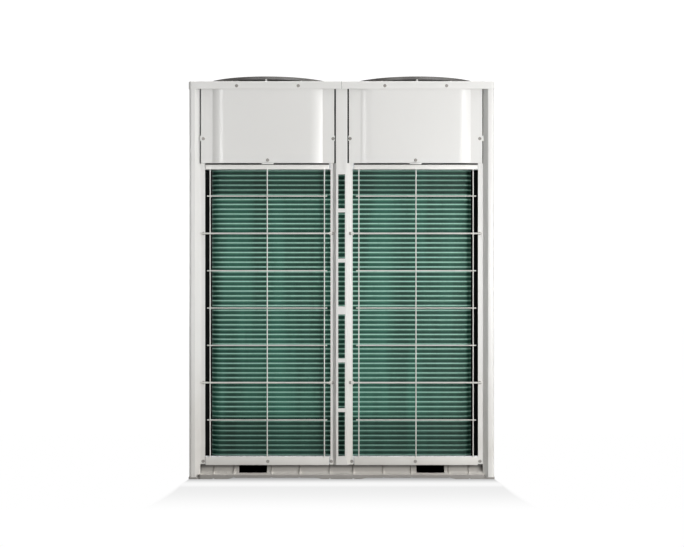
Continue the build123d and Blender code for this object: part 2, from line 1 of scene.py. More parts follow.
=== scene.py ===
# %% [markdown]
# # A twin-fan outdoor unit in a white studio
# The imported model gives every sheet, rail and guard of the unit at its real size. This lesson dresses it:
# plain sheets get paint, square stand-in wires become round welded ones, and the coil gets its fins.
# Everything is in metres in the model's own frame, with the floor at z = 0 and the photographed face on -Y.

# %% Load the frame
import math
import bmesh
import bpy
from mathutils import Matrix, Vector


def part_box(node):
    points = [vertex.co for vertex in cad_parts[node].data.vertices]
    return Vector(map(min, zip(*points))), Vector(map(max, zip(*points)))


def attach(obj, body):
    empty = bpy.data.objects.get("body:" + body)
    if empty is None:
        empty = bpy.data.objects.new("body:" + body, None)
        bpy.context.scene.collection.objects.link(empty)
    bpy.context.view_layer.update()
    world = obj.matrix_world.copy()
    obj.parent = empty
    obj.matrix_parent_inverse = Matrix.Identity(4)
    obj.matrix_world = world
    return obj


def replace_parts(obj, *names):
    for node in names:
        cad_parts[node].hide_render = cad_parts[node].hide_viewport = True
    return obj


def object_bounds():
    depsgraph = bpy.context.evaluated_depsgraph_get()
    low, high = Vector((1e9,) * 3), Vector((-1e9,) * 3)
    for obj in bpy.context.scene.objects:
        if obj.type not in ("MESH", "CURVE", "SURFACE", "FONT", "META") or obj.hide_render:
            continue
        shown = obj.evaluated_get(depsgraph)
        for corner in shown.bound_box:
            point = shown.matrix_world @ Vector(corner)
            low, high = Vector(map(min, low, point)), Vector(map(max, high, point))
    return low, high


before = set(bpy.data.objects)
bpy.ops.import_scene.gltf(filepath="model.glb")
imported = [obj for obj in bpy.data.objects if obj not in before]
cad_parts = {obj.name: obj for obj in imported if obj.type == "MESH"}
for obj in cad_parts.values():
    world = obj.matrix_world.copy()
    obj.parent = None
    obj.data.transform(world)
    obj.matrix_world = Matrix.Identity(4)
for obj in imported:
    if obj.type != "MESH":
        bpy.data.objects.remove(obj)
cad_low, cad_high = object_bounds()
MM = 0.001
print("nodes", len(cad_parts), "box", [round(v, 4) for v in (*cad_low, *cad_high)])

# %% [markdown]
# ## Where things are
# The cabinet has four faces that are built alike. On each face x runs to the right, y runs inwards from the
# corner posts and z is up, so a piece is made once in face coordinates and then turned to its face.
# The size of the cabinet is read from a corner post, so nothing has to be fitted by eye.

# %% Faces of the cabinet
post_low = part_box("post_front_left")[0]
half_width = -post_low[0]
half_depth = -post_low[1]
FACES = {
    "front": (0, -half_depth, 0),
    "right": (half_width, 0, 90),
    "rear": (0, half_depth, 180),
    "left": (-half_width, 0, -90),
}
HANDS = (("left", -1), ("right", 1))


def face_matrix(side):
    """Placement of one face of the cabinet."""
    x, y, turn = FACES[side]
    return Matrix.Translation((x, y, 0)) @ Matrix.Rotation(math.radians(turn), 4, "Z")


print("cabinet", round(2 * half_width, 4), "by", round(2 * half_depth, 4))

# %% [markdown]
# ## Camera
# The photograph looks square on at the coil face from about five metres, at 0.87 m above the floor. The
# vertical edges stay parallel, so the camera is level. A 62 mm lens in front of a 36 mm sensor gives the
# same perspective, and a camera placed like this needs no shift.

# %% Camera
camera_across = 0.0017
camera_distance = 5.0
camera_height = 0.8678


def add_object(name, data):
    """A new object in the scene."""
    made = bpy.data.objects.new(name, data)
    bpy.context.collection.objects.link(made)
    return made


camera_data = bpy.data.cameras.new("camera")
camera_data.sensor_width = 36.0
camera_data.lens = 62.36
camera = add_object("camera", camera_data)
camera.location = (camera_across, cad_low[1] - camera_distance, camera_height)
camera.rotation_euler = (math.radians(90), 0, 0)
bpy.context.scene.camera = camera
print("camera at", [round(v, 3) for v in camera.location])

# %% [markdown]
# ## Shader arithmetic
# Paint, zinc and lacquer differ from place to place, and that takes many small sums in the shader. One class
# wraps a socket so that such a sum reads like ordinary arithmetic, and each operation adds a Math node.

# %% Signal
class Signal:
    """An output socket of a material. Arithmetic on signals adds Math nodes."""

    def __init__(self, socket):
        self.socket = socket
        self.tree = socket.id_data

    def node(self, kind, settings=None, inputs=None, output=0):
        """Any other node of the same tree: its settings first, then its sockets."""
        made = self.tree.nodes.new(kind)
        for key, value in (settings or {}).items():
            setattr(made, key, value)
        for key, value in (inputs or {}).items():
            if isinstance(value, Signal):
                self.tree.links.new(value.socket, made.inputs[key])
            else:
                made.inputs[key].default_value = value
        return Signal(made.outputs[output])

    def math(self, operation, first, second=0.0):
        return self.node("ShaderNodeMath", {"operation": operation}, {0: first, 1: second})

    def __add__(self, other):
        return self.math("ADD", self, other)

    def __sub__(self, other):
        return self.math("SUBTRACT", self, other)

    def __rsub__(self, other):
        return self.math("SUBTRACT", other, self)

    def __mul__(self, other):
        return self.math("MULTIPLY", self, other)

    def __truediv__(self, other):
        return self.math("DIVIDE", self, other)

    __radd__ = __add__
    __rmul__ = __mul__


def axis_of(place, name):
    """One coordinate of a place."""
    return place.node("ShaderNodeSeparateXYZ", None, {"Vector": place}, name)


def stretched(place, scale):
    """The place with each axis scaled."""
    return place.node("ShaderNodeMapping", {"vector_type": "POINT"}, {"Vector": place, "Scale": scale})


def noise(place, scale, detail):
    """Soft noise between 0 and 1 with features about 1/scale metres across."""
    return place.node("ShaderNodeTexNoise", None, {"Vector": place, "Scale": scale, "Detail": detail})


def between(value, low, high, start=0.0, finish=1.0):
    """A smooth step from start at low to finish at high."""
    if low > high:
        low, high, start, finish = high, low, finish, start
    return value.node(
        "ShaderNodeMapRange", {"interpolation_type": "SMOOTHSTEP"},
        {0: value, 1: low, 2: high, 3: start, 4: finish},
    )


def blend(factor, first, second):
    """From the first colour to the second."""
    return factor.node("ShaderNodeMix", {"data_type": "RGBA"}, {0: factor, 6: first, 7: second}, 2)


def bump(height, distance, strength):
    """Small relief, with its depth in metres."""
    inputs = {"Height": height, "Distance": distance, "Strength": strength}
    return height.node("ShaderNodeBump", None, inputs)


def rgb(red, green, blue):
    """A display colour of 0 to 255 as a linear one."""
    display = (red, green, blue)
    return tuple(((v / 255 + 0.055) / 1.055) ** 2.4 if v > 10 else v / 3294 for v in display) + (1,)


def material(name, recipe, **fixed):
    """A material: fixed values on the shader's own sockets, and a recipe for what varies."""
    made = bpy.data.materials.new(name)
    made.use_nodes = True
    tree = made.node_tree
    shader = tree.nodes["Principled BSDF"]
    for key, value in fixed.items():
        shader.inputs[key.replace("_", " ")].default_value = value
    place = Signal(tree.nodes.new("ShaderNodeTexCoord").outputs["Object"])
    for key, signal in recipe(place).items():
        tree.links.new(signal.socket, shader.inputs[key])
    return made


print("white paint is", [round(v, 3) for v in rgb(228, 227, 223)[:3]])

# %% [markdown]
# ## Paint
# The cabinet is folded sheet with a baked powder coat. Such a coat is semi-gloss with a fine orange peel,
# it is never quite one shade, and a standing unit gathers a little dust towards its feet. A plain colour
# with a bump would look like plastic, so the shade, the gloss and the relief each get their own noise.

# %% Painted sheet
dust_top = 750.0 * MM
lip_top = 18.0 * MM          # top of the base's lip, where its ledge starts
lip_shade_depth = 1.5 * MM         # depth over which the lip is painted dark as shade under its top
cove_foot = 21.0 * MM        # the painted shade in the corner above the ledge, under the cabinet, grows from here
cove_middle = 34.0 * MM
cove_top = 48.0 * MM
top_light_from = 1276.0 * MM     # the guards are painted lighter from here up to the next level, as light from above
top_light_full = 1288.0 * MM


def painted(colour, dusty, gloss):
    """Recipe of a powder coat: light clouding, dust towards the floor and orange peel."""
    def recipe(place):
        shaded = tuple(0.97 * v for v in colour[:3]) + (1,)
        dust = between(axis_of(place, "Z"), dust_top, 0.0) * between(noise(place, 7, 4), 0.2, 0.9, 0.35, 1)
        return {
            "Base Color": blend(dust, blend(noise(place, 2.2, 3), shaded, colour), dusty),
            "Roughness": between(noise(place, 35, 3), 0.3, 0.7, gloss, gloss + 0.07) + dust * 0.16,
            "Normal": bump(noise(place, 900, 1), 0.4 * MM, 0.05),
        }
    return recipe


def rail_paint_with_light_and_shade(place):
    """Base powder coat: painted light on the ledge, painted shade on the lip and in the corner above it."""
    made = painted(rgb(236, 232, 226), rgb(220, 215, 207), 0.42)(place)
    level = axis_of(place, "Z")
    # Painted shade: the corner under the overhanging cabinet and the lip under its top are darkened, and only
    # the ledge keeps the light painted colour.
    corner = between(level, cove_foot, cove_middle) * 0.50 + between(level, cove_middle, cove_top) * 0.48
    painted_shade = between(level, lip_top, lip_top - lip_shade_depth) * 0.76 + corner
    made["Base Color"] = blend(painted_shade, made["Base Color"], rgb(84, 80, 75))
    return made


def guard_paint_with_top_light(place):
    """Powder coat of the guards, with the top bars painted lighter as light from above."""
    made = painted(rgb(226, 224, 219), rgb(206, 202, 196), 0.34)(place)
    # Painted light: the top bars get a lighter colour, as if lit from above.
    painted_top_light = between(axis_of(place, "Z"), top_light_from, top_light_full)
    made["Base Color"] = blend(painted_top_light, made["Base Color"], rgb(237, 235, 231))
    return made


powder_coat = painted(rgb(231, 230, 227), rgb(206, 202, 195), 0.30)
cabinet_paint = material("cabinet_paint", powder_coat, IOR=1.5, Coat_Weight=0.15)
guard_paint = material("guard_paint", guard_paint_with_top_light, IOR=1.5)
base_paint = material("base_paint", rail_paint_with_light_and_shade, IOR=1.5)
print("paints made, dust up to", dust_top)

# %% [markdown]
# ## Zinc, plastic, seals and motor enamel
# What isn't painted is galvanised sheet, whose zinc freezes in spangles a few millimetres across: a Voronoi
# pattern gives each spangle its own grey and gloss. The fan and its bell mouth are moulded in dark plastic
# with a fine grain, and the corner seals are matt black sheet.

# %% Other finishes
def galvanised(place):
    """Zinc spangle: each cell has its own shade and gloss."""
    cells = place.node("ShaderNodeTexVoronoi", {"feature": "F1"}, {"Vector": place, "Scale": 150.0}, "Color")
    shade = axis_of(cells, "X")
    return {
        "Base Color": blend(shade, (0.42, 0.43, 0.44, 1), (0.60, 0.61, 0.62, 1)),
        "Roughness": between(shade, 0, 1, 0.34, 0.52),
        "Normal": bump(noise(place, 420, 2), 0.2 * MM, 0.10),
    }


def moulded(colour, worn, gloss):
    """Recipe of moulded plastic: a fine grain with slightly polished and dusty patches."""
    def recipe(place):
        patch = between(noise(place, 11, 4), 0.35, 0.75)
        return {
            "Base Color": blend(patch, colour, worn),
            "Roughness": between(noise(place, 60, 2), 0.3, 0.7, gloss, gloss + 0.12),
            "Normal": bump(noise(place, 1400, 1), 0.2 * MM, 0.15),
        }
    return recipe


def screw_steel(place):
    """Dull zinc of small screws, darker in patches."""
    patch = noise(place, 240, 2)
    return {
        "Base Color": blend(patch, rgb(118, 115, 110), rgb(168, 165, 160)),
        "Roughness": between(patch, 0.3, 0.7, 0.34, 0.55),
    }


zinc = material("galvanised_sheet", galvanised, Metallic=0.85)
fan_plastic = material("fan_plastic", moulded(rgb(54, 55, 57), rgb(74, 75, 77), 0.42))
dark_plastic = material("dark_plastic", moulded(rgb(30, 31, 33), rgb(46, 47, 48), 0.46))
# The same black is also put in gaps as painted shade.
black_seal = material("black_seal", moulded(rgb(3, 3, 3), rgb(8, 8, 9), 0.7), Specular_IOR_Level=0.08)
motor_paint = material("motor_paint", moulded(rgb(26, 26, 27), rgb(44, 44, 45), 0.36))
fan_guard_paint = material("fan_guard_paint", moulded(rgb(96, 94, 92), rgb(120, 118, 115), 0.36))
screw_zinc = material("screw_zinc", screw_steel, Metallic=0.55)
print("finishes", len(bpy.data.materials))

# %% [markdown]
# ## Coil lacquer
# The coil is a stack of thin upright aluminium fins under dark green lacquer, pressed into waves round every
# tube row. From the front each wave shows as one bright crest line with a dark groove above it. Both are
# painted into the colour: the crest line is a painted highlight that fades towards the floor, and the groove
# is painted shade. The rows towards the end bars of the guards are painted darker as shade. The shade follows
# height, and the fins themselves follow the run of the coil round its corners, which the coil's mesh carries
# in an attribute.

# %% Lacquered fins
tube_pitch = 20.625 * MM
crest_level = 1287.5 * MM    # height of one crest line, measured in the photograph
groove_phase = 0.91          # place of the painted groove shade in a wave that has its crest at 0.5
# Above and below these heights the rows next to the end bars get painted shade.
shaded_above = 1200.0 * MM
shaded_below = 260.0 * MM
shade_fade = 12.0 * MM
fin_pitch = 1.8 * MM


def lacquered_fins_and_painted_light(place):
    """Painted highlight lines on the crests, over dark green, with upright fins as relief."""
    level = axis_of(place, "Z")
    phase = place.math("FRACT", (level - crest_level) / tube_pitch + 0.5)
    off_crest = place.math("ABSOLUTE", phase - 0.5)
    # The crest mask places the painted highlight, a bright line where light catches each wave.
    crest = between(off_crest, 0.17, 0.04) * 0.92 + between(off_crest, 0.38, 0.14) * 0.08
    # Painted shade: a dark line in the groove above each crest.
    groove_shade = between(place.math("ABSOLUTE", phase - groove_phase), 0.13, 0.04)
    top_shade = between(level, shaded_above - shade_fade, shaded_above + shade_fade)
    foot_shade = between(level, shaded_below + shade_fade, shaded_below - shade_fade)
    end_row_shade = top_shade + foot_shade
    run = place.node("ShaderNodeAttribute", {"attribute_name": "run"}, None, "Fac")
    bands = noise(place.node("ShaderNodeCombineXYZ", None, {0: run * 9.0, 1: level * 0.8}), 1.0, 3)
    speck = noise(stretched(place, (1, 1, 0.25)), 160, 2)
    # The painted highlight fades towards the floor.
    highlight_falloff = between(level, 0.05, 0.85, 0.62, 0.98)
    painted_highlight = crest * highlight_falloff * (1 - end_row_shade * 0.32)
    deep = blend(between(bands, 0.3, 0.7), rgb(24, 63, 50), rgb(50, 102, 86))
    # Painted shade: grooves and end rows darken towards a near black green.
    deep = blend(groove_shade * 0.4 + end_row_shade * 0.5, deep, rgb(2, 26, 18))
    fins = place.math("PINGPONG", run / fin_pitch, 0.5)
    return {
        "Base Color": blend(painted_highlight * between(speck, 0.2, 0.6, 0.85, 1.0), deep, rgb(182, 230, 212)),
        "Roughness": between(speck, 0.3, 0.7, 0.36, 0.5),
        "Normal": bump(fins, 0.6 * MM, 0.35),
    }


coil_lacquer = material("coil_lacquer", lacquered_fins_and_painted_light, Specular_IOR_Level=0.12)
print("coil lacquer made, one crest line every", tube_pitch)

# %% [markdown]
# ## From mesh code to pieces
# Every new piece starts as a bmesh and ends the same way: faces smooth, edges past an angle sharp, one
# material, and a ride on the unit's only body. Sheet thickness and softened edges come from modifiers, which
# keeps the shape readable. Blocks, wires and cones come back in many pieces, so each has a short helper.

# %% Finishing a piece
def piece(name, bm, finish, sharp=30.0, thickness=0.0, edge=0.0):
    """Turn a bmesh into a piece of the unit."""
    for face in bm.faces:
        face.smooth = True
    for line in bm.edges:
        if len(line.link_faces) == 2 and line.calc_face_angle(0) > math.radians(sharp):
            line.smooth = False
    mesh = bpy.data.meshes.new(name)
    bm.to_mesh(mesh)
    bm.free()
    mesh.materials.append(finish)
    made = add_object(name, mesh)
    if thickness:
        solid = made.modifiers.new("thickness", "SOLIDIFY")
        solid.thickness = thickness
        solid.offset = -1
        solid.use_even_offset = True
    if edge:
        soft = made.modifiers.new("edges", "BEVEL")
        soft.width = edge
        soft.segments = 2
        soft.limit_method = "ANGLE"
        soft.angle_limit = math.radians(35)
        soft.harden_normals = True
    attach(made, "root")
    return made


def place_face(bm, side):
    """Move a bmesh made in face coordinates to its face."""
    bmesh.ops.transform(bm, matrix=face_matrix(side), verts=bm.verts)


# %% Helpers for blocks, wires and cones
def span_of(sign, near, far):
    """The two ends of a stretch on the left (-1) or on the right (1) of the middle, in rising order."""
    return sorted((sign * near, sign * far))


def vertices_in(parts):
    """The vertices among the parts of a mesh that an operator gives back."""
    return [part for part in parts if isinstance(part, bmesh.types.BMVert)]


def faces_in(parts):
    """The faces among the parts of a mesh that an operator gives back."""
    return [part for part in parts if isinstance(part, bmesh.types.BMFace)]


def edges_at(verts):
    """The edges that meet at some vertices."""
    return list({line for vert in verts for line in vert.link_edges})


def move(bm, parts, vector):
    """Move the vertices among some parts of a mesh."""
    bmesh.ops.translate(bm, vec=vector, verts=vertices_in(parts))


def round_off(bm, edges, radius, steps):
    """Round some edges of a mesh."""
    bmesh.ops.bevel(
        bm, geom=edges, offset=radius, offset_type="OFFSET", affect="EDGES",
        segments=steps, profile=0.5, material=-1,
    )


def slab(bm, x0, x1, y0, y1, z0, z1, round_edge=0.0, steps=2, turn=Matrix.Identity(4)):
    """A block between two corners with its edges rounded, turned about the origin."""
    centre = Matrix.Translation(((x1 + x0) / 2, (y1 + y0) / 2, (z1 + z0) / 2))
    size = Matrix.Diagonal((x1 - x0, y1 - y0, z1 - z0, 1))
    made = bmesh.ops.create_cube(bm, size=1, matrix=turn @ centre @ size)
    if round_edge:
        round_off(bm, edges_at(made["verts"]), round_edge, steps)


def cone(bm, placed, foot, top, height, sides):
    """A closed cone or cylinder with its foot and top radius, round the middle of its placement."""
    made = bmesh.ops.create_cone(
        bm, cap_ends=True, segments=sides, radius1=foot, radius2=top, depth=height, matrix=placed
    )
    return made["verts"]


def bar(bm, start, finish, radius, sides=10):
    """A round wire between two points."""
    middle = (Vector(start) + Vector(finish)) / 2
    run = Vector(finish) - Vector(start)
    turn = run.to_track_quat("Z", "Y").to_matrix().to_4x4()
    cone(bm, Matrix.Translation(middle) @ turn, radius, radius, run.length, sides)


def full_turn(bm, outline, steps):
    """Spin an outline once round the z axis."""
    bmesh.ops.spin(
        bm, geom=outline, cent=(0, 0, 0), axis=(0, 0, 1), angle=2 * math.pi,
        steps=steps, use_merge=True, use_duplicate=False,
    )


print("helpers ready")

# %% [markdown]
# ## Frame and covers
# Posts, mullions and covers already have their folds in the model. Their meshes are triangles with hard
# shading, so a merged copy is shaded smooth across the bends and gets a fine bevel along cut edges, as a
# deburred sheet has. The copy stands for the node. The covers reach the unit's full depth, so they are drawn
# a little shallower, which leaves room for the screw heads on their skirts.

# %% Smooth folded sheets
merge_reach = 0.01 * MM
low_head = 1.6 * MM          # height of the screw heads on the covers
cover_squeeze = 1 - low_head / cad_high[1]


def smooth_copy(node, name, finish, edge=0.0, squeeze=1.0):
    """A merged copy of a node with its curves shaded smooth, which stands for the node."""
    bm = bmesh.new()
    bm.from_mesh(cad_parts[node].data)
    bmesh.ops.remove_doubles(bm, verts=bm.verts, dist=merge_reach)
    bmesh.ops.dissolve_limit(bm, angle_limit=math.radians(0.5), verts=bm.verts, edges=bm.edges)
    bmesh.ops.scale(bm, vec=(1, squeeze, 1), verts=bm.verts)
    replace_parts(piece(name, bm, finish, edge=edge), node)


for corner in ("front_left", "front_right", "rear_right", "rear_left"):
    smooth_copy(f"post_{corner}", f"corner_post_{corner}", cabinet_paint)
for side in ("front", "rear"):
    smooth_copy(f"mullion_{side}", f"centre_mullion_{side}", cabinet_paint, 0.3 * MM)
for hand in ("left", "right"):
    smooth_copy(f"top_cover_{hand}", f"cover_{hand}", cabinet_paint, 0.8 * MM, cover_squeeze)
print("covers squeezed to", round(cover_squeeze, 4))

# %% [markdown]
# ## Pressed base rails
# A base rail is one pressed sheet: a wall that curves forward into a lip, shallow gussets across the curve,
# and a lower edge that comes down to the floor at the feet. A section is drawn at many stations along the
# rail, each with its own foot height and gusset ridge, and neighbours are joined by faces. Where a fork slot
# is, the faces are left out.

# %% Section and lower edge of a rail
wall_setback = 44.0 * MM
base_top = 60.0 * MM
base_overhang = 1.5 * MM
cove_radius = 38.0 * MM
cove_steps = 12
lip_roll = 1.8 * MM          # height of the rolled upper edge of the lip
sole_roll = 0.8 * MM
lip_lift = 5.5 * MM          # clear height under the lip between two feet
foot_ramp = 26.0 * MM
notch_rise = 3.4 * MM
gusset_rise = 5.0 * MM
gusset_half = 4.4 * MM


def ridge(x, gussets):
    """Share of a gusset's ridge at one place: 1 along its crest and 0 beside it."""
    near = min(abs(x - g) for g in gussets)
    return max(0.0, min(1.0, (gusset_half - near) / (0.5 * gusset_half)))


def foot_height(x, feet, gussets):
    """Lower edge of a rail: on the floor at its feet, raised between them, with a notch at each gusset."""
    clear = min([max(low - x, x - high, 0) for low, high in feet], default=foot_ramp)
    t = min(clear / foot_ramp, 1)
    return lip_lift * t * t * (3 - 2 * t) + notch_rise * ridge(x, gussets)


def rail_section(foot, rise):
    """Section of a rail from the top of its wall over the cove and the lip to its sole."""
    centre_y = wall_setback - cove_radius
    centre_z = lip_top + cove_radius
    points = [(wall_setback, base_top)]
    for i in range(cove_steps + 1):
        angle = math.radians(90 * i / cove_steps)
        radius = cove_radius - gusset_rise * rise * math.sin(2 * angle)
        points.append((centre_y + radius * math.cos(angle), centre_z - radius * math.sin(angle)))
    points += [(lip_roll / 3, lip_top), (-base_overhang * 2 / 3, lip_top - lip_roll / 3)]
    points += [(-base_overhang, lip_top - lip_roll), (-base_overhang, foot + sole_roll)]
    return points + [(-base_overhang * 3 / 5, foot), (wall_setback, foot)]


# %% Rail from its sections
slot_steps = 8               # steps of the cove, from the wall, that a fork slot opens
rail_sheet = 2.4 * MM
station_step = 11.0 * MM
station_gap = 0.3 * MM       # two stations closer than this become one
post_reach_in = 40.0 * MM    # how far from the cabinet's edge a rail's section ends, behind a post
foot_sheet = 3.4 * MM
lip_at_post = 8.0 * MM       # height of the lip in front of a post
foot_edge = 0.5 * MM


def pressed_rail(name, side, half_length, feet, gussets, slots):
    """One rail: sections joined along x, open at the fork slots."""
    stations = {-half_length, half_length}
    stations |= {x for span in slots for x in span}
    stations |= {g + share * gusset_half for g in gussets for share in (-1, -0.5, 0.5, 1)}
    count = int(2 * half_length / station_step)
    stations |= {-half_length + 2 * half_length * i / count for i in range(1, count)}
    stations = sorted(stations)
    stations = [x for x, after in zip(stations, stations[1:] + [math.inf]) if after - x > station_gap]
    bm = bmesh.new()
    grid = []
    for x in stations:
        section = rail_section(foot_height(x, feet, gussets), ridge(x, gussets))
        grid.append([bm.verts.new((x, y, z)) for y, z in section])
    for i in range(len(stations) - 1):
        middle = (stations[i] + stations[i + 1]) / 2
        in_slot = any(low < middle < high for low, high in slots)
        for j in range(len(grid[0]) - 1):
            if not (in_slot and 1 <= j <= slot_steps):
                bm.faces.new((grid[i][j], grid[i][j + 1], grid[i + 1][j + 1], grid[i + 1][j]))
    place_face(bm, side)
    return piece(name, bm, base_paint, sharp=32, thickness=rail_sheet)


def post_feet(side):
    """Sole and lip under and in front of the two posts of a face."""
    bm = bmesh.new()
    inner = half_width - post_reach_in
    for sign in (-1, 1):
        sole = span_of(sign, inner, half_width - 2.5 * MM)
        front_lip = span_of(sign, inner, half_width + 1.2 * MM)
        side_lip = span_of(sign, half_width + 0.1 * MM, half_width + base_overhang)
        slab(bm, *sole, 2.2 * MM, wall_setback, 0, foot_sheet, foot_edge)
        slab(bm, *front_lip, -base_overhang, -0.1 * MM, 0, lip_at_post, foot_edge)
        slab(bm, *side_lip, -0.5 * MM, wall_setback, 0, lip_at_post, foot_edge)
    place_face(bm, side)
    piece(f"post_feet_{side}", bm, base_paint)


# %% Rails of all four sides
main_half = half_width - post_reach_in
side_half = half_depth - 47.5 * MM
fork_place = 377.0 * MM
fork_half = 59.0 * MM
MAIN_FEET = ((-700 * MM, -482 * MM), (-81 * MM, 81 * MM), (482 * MM, 700 * MM))
MAIN_GUSSETS = tuple(sign * g * MM for sign in (-1, 1) for g in (49.7, 177.4, 295.8, 455.8, 541.0))
SIDE_GUSSETS = tuple(g * MM for g in (-225, -75, 75, 225))
FORK_SLOTS = tuple(span_of(sign, fork_place - fork_half, fork_place + fork_half) for sign in (-1, 1))
for side in ("front", "rear"):
    made = pressed_rail(f"foot_rail_{side}", side, main_half, MAIN_FEET, MAIN_GUSSETS, FORK_SLOTS)
    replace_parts(made, f"base_rail_{side}")
    post_feet(side)
for side in ("left", "right"):
    made = pressed_rail(f"foot_rail_{side}", side, side_half, (), SIDE_GUSSETS, ())
    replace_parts(made, f"base_rail_{side}")

# %% [markdown]
# ## Raised panels
# Each panel is one sheet pressed so that its middle stands out: two soft curves rise from the flat flanges,
# with a crisp crease where they start. That crease is what draws the dark and the bright line down each
# panel. An edge profile extruded upwards is the direct way to make it, and its curve needs enough points to
# shade smoothly.

# %% Panel profile
carrier_face = 20.0 * MM     # screw flanges of the posts, in from the post faces
flat_setback = 9.5 * MM
pad_setback = 0.5 * MM
panel_flange = 49.0 * MM
pad_flank = 56.0 * MM
sheet = 2.0 * MM
foot_inset = 10.0 * MM       # how much shorter the bottom of a panel is at its back, beside a mullion
flank_steps = 12


def panel_profile(x0, x1):
    """Plan points of a panel from its left to its right edge."""
    rise = flat_setback - pad_setback
    bend = (pad_flank ** 2 + rise ** 2) / (2 * rise)
    pad_start = x0 + panel_flange + pad_flank
    left = [(x0, flat_setback)]
    for i in range(flank_steps + 1):
        across = pad_flank * (1 - i / flank_steps)
        left.append((pad_start - across, pad_setback + bend - math.sqrt(bend ** 2 - across ** 2)))
    right = [(x0 + x1 - x, y) for x, y in reversed(left)]
    return left + right


def raised_panel(name, side, x0, x1, z0, z1, mullion_hand=0):
    """One pressed panel. A panel beside a mullion has no return on that side."""
    profile = panel_profile(x0, x1)
    if mullion_hand <= 0:
        profile.append((x1, carrier_face))
    if mullion_hand >= 0:
        profile.insert(0, (x0, carrier_face))
    bm = bmesh.new()
    low = [bm.verts.new((x, y, z0)) for x, y in profile]
    line = [bm.edges.new(pair) for pair in zip(low, low[1:])]
    foot = list(low)
    if mullion_hand:
        edge = x0 if mullion_hand < 0 else x1
        corner = bm.verts.new((edge - mullion_hand * foot_inset, carrier_face, z0))
        foot = [corner] + foot if mullion_hand < 0 else foot + [corner]
    bm.faces.new(foot)
    raised = bmesh.ops.extrude_edge_only(bm, edges=line)["geom"]
    move(bm, raised, (0, 0, z1 - z0))
    bmesh.ops.recalc_face_normals(bm, faces=bm.faces)
    wall = max(bm.faces, key=lambda f: f.calc_area())
    if wall.normal.y > 0:
        bmesh.ops.reverse_faces(bm, faces=bm.faces)
    place_face(bm, side)
    return piece(name, bm, cabinet_paint, sharp=17, thickness=sheet, edge=0.5 * MM)


# %% Panels of all four faces
panel_inset = 49.4 * MM      # gap that a post leaves beside a panel
bay_inner = 31.0 * MM
bay_outer = half_width - panel_inset
side_edge = half_depth - panel_inset
upper_floor, upper_top = (corner[2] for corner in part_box("upper_panel_left"))
lower_floor, lower_top = (corner[2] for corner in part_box("service_panel_left"))
upper = (upper_floor, upper_top)
lower = (lower_floor, lower_top)
for hand, sign in HANDS:
    bay = span_of(sign, bay_inner, bay_outer)
    opposite = span_of(-sign, bay_inner, bay_outer)
    made = raised_panel(f"panel_front_{hand}", "front", *bay, *upper, -sign)
    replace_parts(made, f"upper_panel_front_{hand}")
    made = raised_panel(f"panel_rear_{hand}", "rear", *opposite, *upper, sign)
    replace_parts(made, f"upper_panel_rear_{hand}")
    made = raised_panel(f"access_panel_{hand}", "rear", *opposite, *lower, sign)
    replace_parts(made, f"service_panel_{hand}")
    made = raised_panel(f"panel_side_{hand}", hand, -side_edge, side_edge, *upper)
    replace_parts(made, f"upper_panel_{hand}")
print("panels from", round(upper_floor, 4), "to", round(upper_top, 4))

# %% [markdown]
# ## Coil
# The coil wraps the front and both sides in one U. Its waved section is drawn once as a closed outline at
# the rear left end and then extruded along the sides and spun round the corners. The run along the outer
# face is stored on the mesh, so that the fins can follow it.

# %% Fin and tube coil
coil_low, coil_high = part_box("coil")
coil_bend = 62.0 * MM
coil_depth = 44.0 * MM
crest_height = 2.6 * MM
crest_width = 0.10           # in shares of the tube pitch, as the next one
small_width = 0.08
small_height = 0.30          # a lower crest stands halfway between two tubes
wave_steps = 10
corner_steps = 8
coil_left = coil_low[0]
coil_front = coil_low[1]
coil_rear = coil_high[1]
side_run = coil_rear - coil_front - coil_bend
front_run = -2 * coil_left - 2 * coil_bend
corner_run = coil_bend * math.pi / 2


def wave(z):
    """Depth of the coil's outer face below its crests at one height."""
    off = abs((z - crest_level) / tube_pitch % 1.0 - 0.5)
    main = math.exp(-((0.5 - off) / crest_width) ** 2)
    small = small_height * math.exp(-(off / small_width) ** 2)
    return crest_height * (1 - max(main, small))


def run_along(x, y):
    """Length along the coil's outer face from its rear left end."""
    past_left = x - coil_left - coil_bend
    past_right = x + coil_left + coil_bend
    past_front = y - coil_front - coil_bend
    if past_front > 0:
        return coil_rear - y if past_left < 0 else side_run + 2 * corner_run + front_run + past_front
    if past_left < 0:
        return side_run + coil_bend * math.atan2(-past_front, -past_left)
    if past_right > 0:
        return side_run + corner_run + front_run + coil_bend * math.atan2(past_right, -past_front)
    return side_run + corner_run + past_left


def fin_coil():
    """The waved block, extruded and spun along its U."""
    bm = bmesh.new()
    levels = [coil_low[2]]
    step = tube_pitch / wave_steps
    while levels[-1] + step < coil_high[2]:
        levels.append(levels[-1] + step)
    levels.append(coil_high[2])
    outline = [bm.verts.new((coil_left + wave(z), coil_rear, z)) for z in levels]
    outline += [bm.verts.new((coil_left + coil_depth, coil_rear, z)) for z in (coil_high[2], coil_low[2])]
    last = [bm.faces.new(outline)]

    def onward(vector):
        moved = bmesh.ops.extrude_face_region(bm, geom=last)["geom"]
        move(bm, moved, vector)
        return faces_in(moved)

    def round_corner(x):
        turned = bmesh.ops.spin(
            bm, geom=last, cent=(x, coil_front + coil_bend, 0), axis=(0, 0, 1), angle=math.pi / 2,
            steps=corner_steps, use_merge=False, use_duplicate=False,
        )
        return faces_in(turned["geom_last"])

    last = onward((0, -side_run, 0))
    last = round_corner(coil_left + coil_bend)
    last = onward((front_run, 0, 0))
    last = round_corner(-coil_left - coil_bend)
    last = onward((0, side_run, 0))
    bmesh.ops.recalc_face_normals(bm, faces=bm.faces)
    run = bm.verts.layers.float.new("run")
    for vert in bm.verts:
        vert[run] = run_along(vert.co.x, vert.co.y)
    return bm


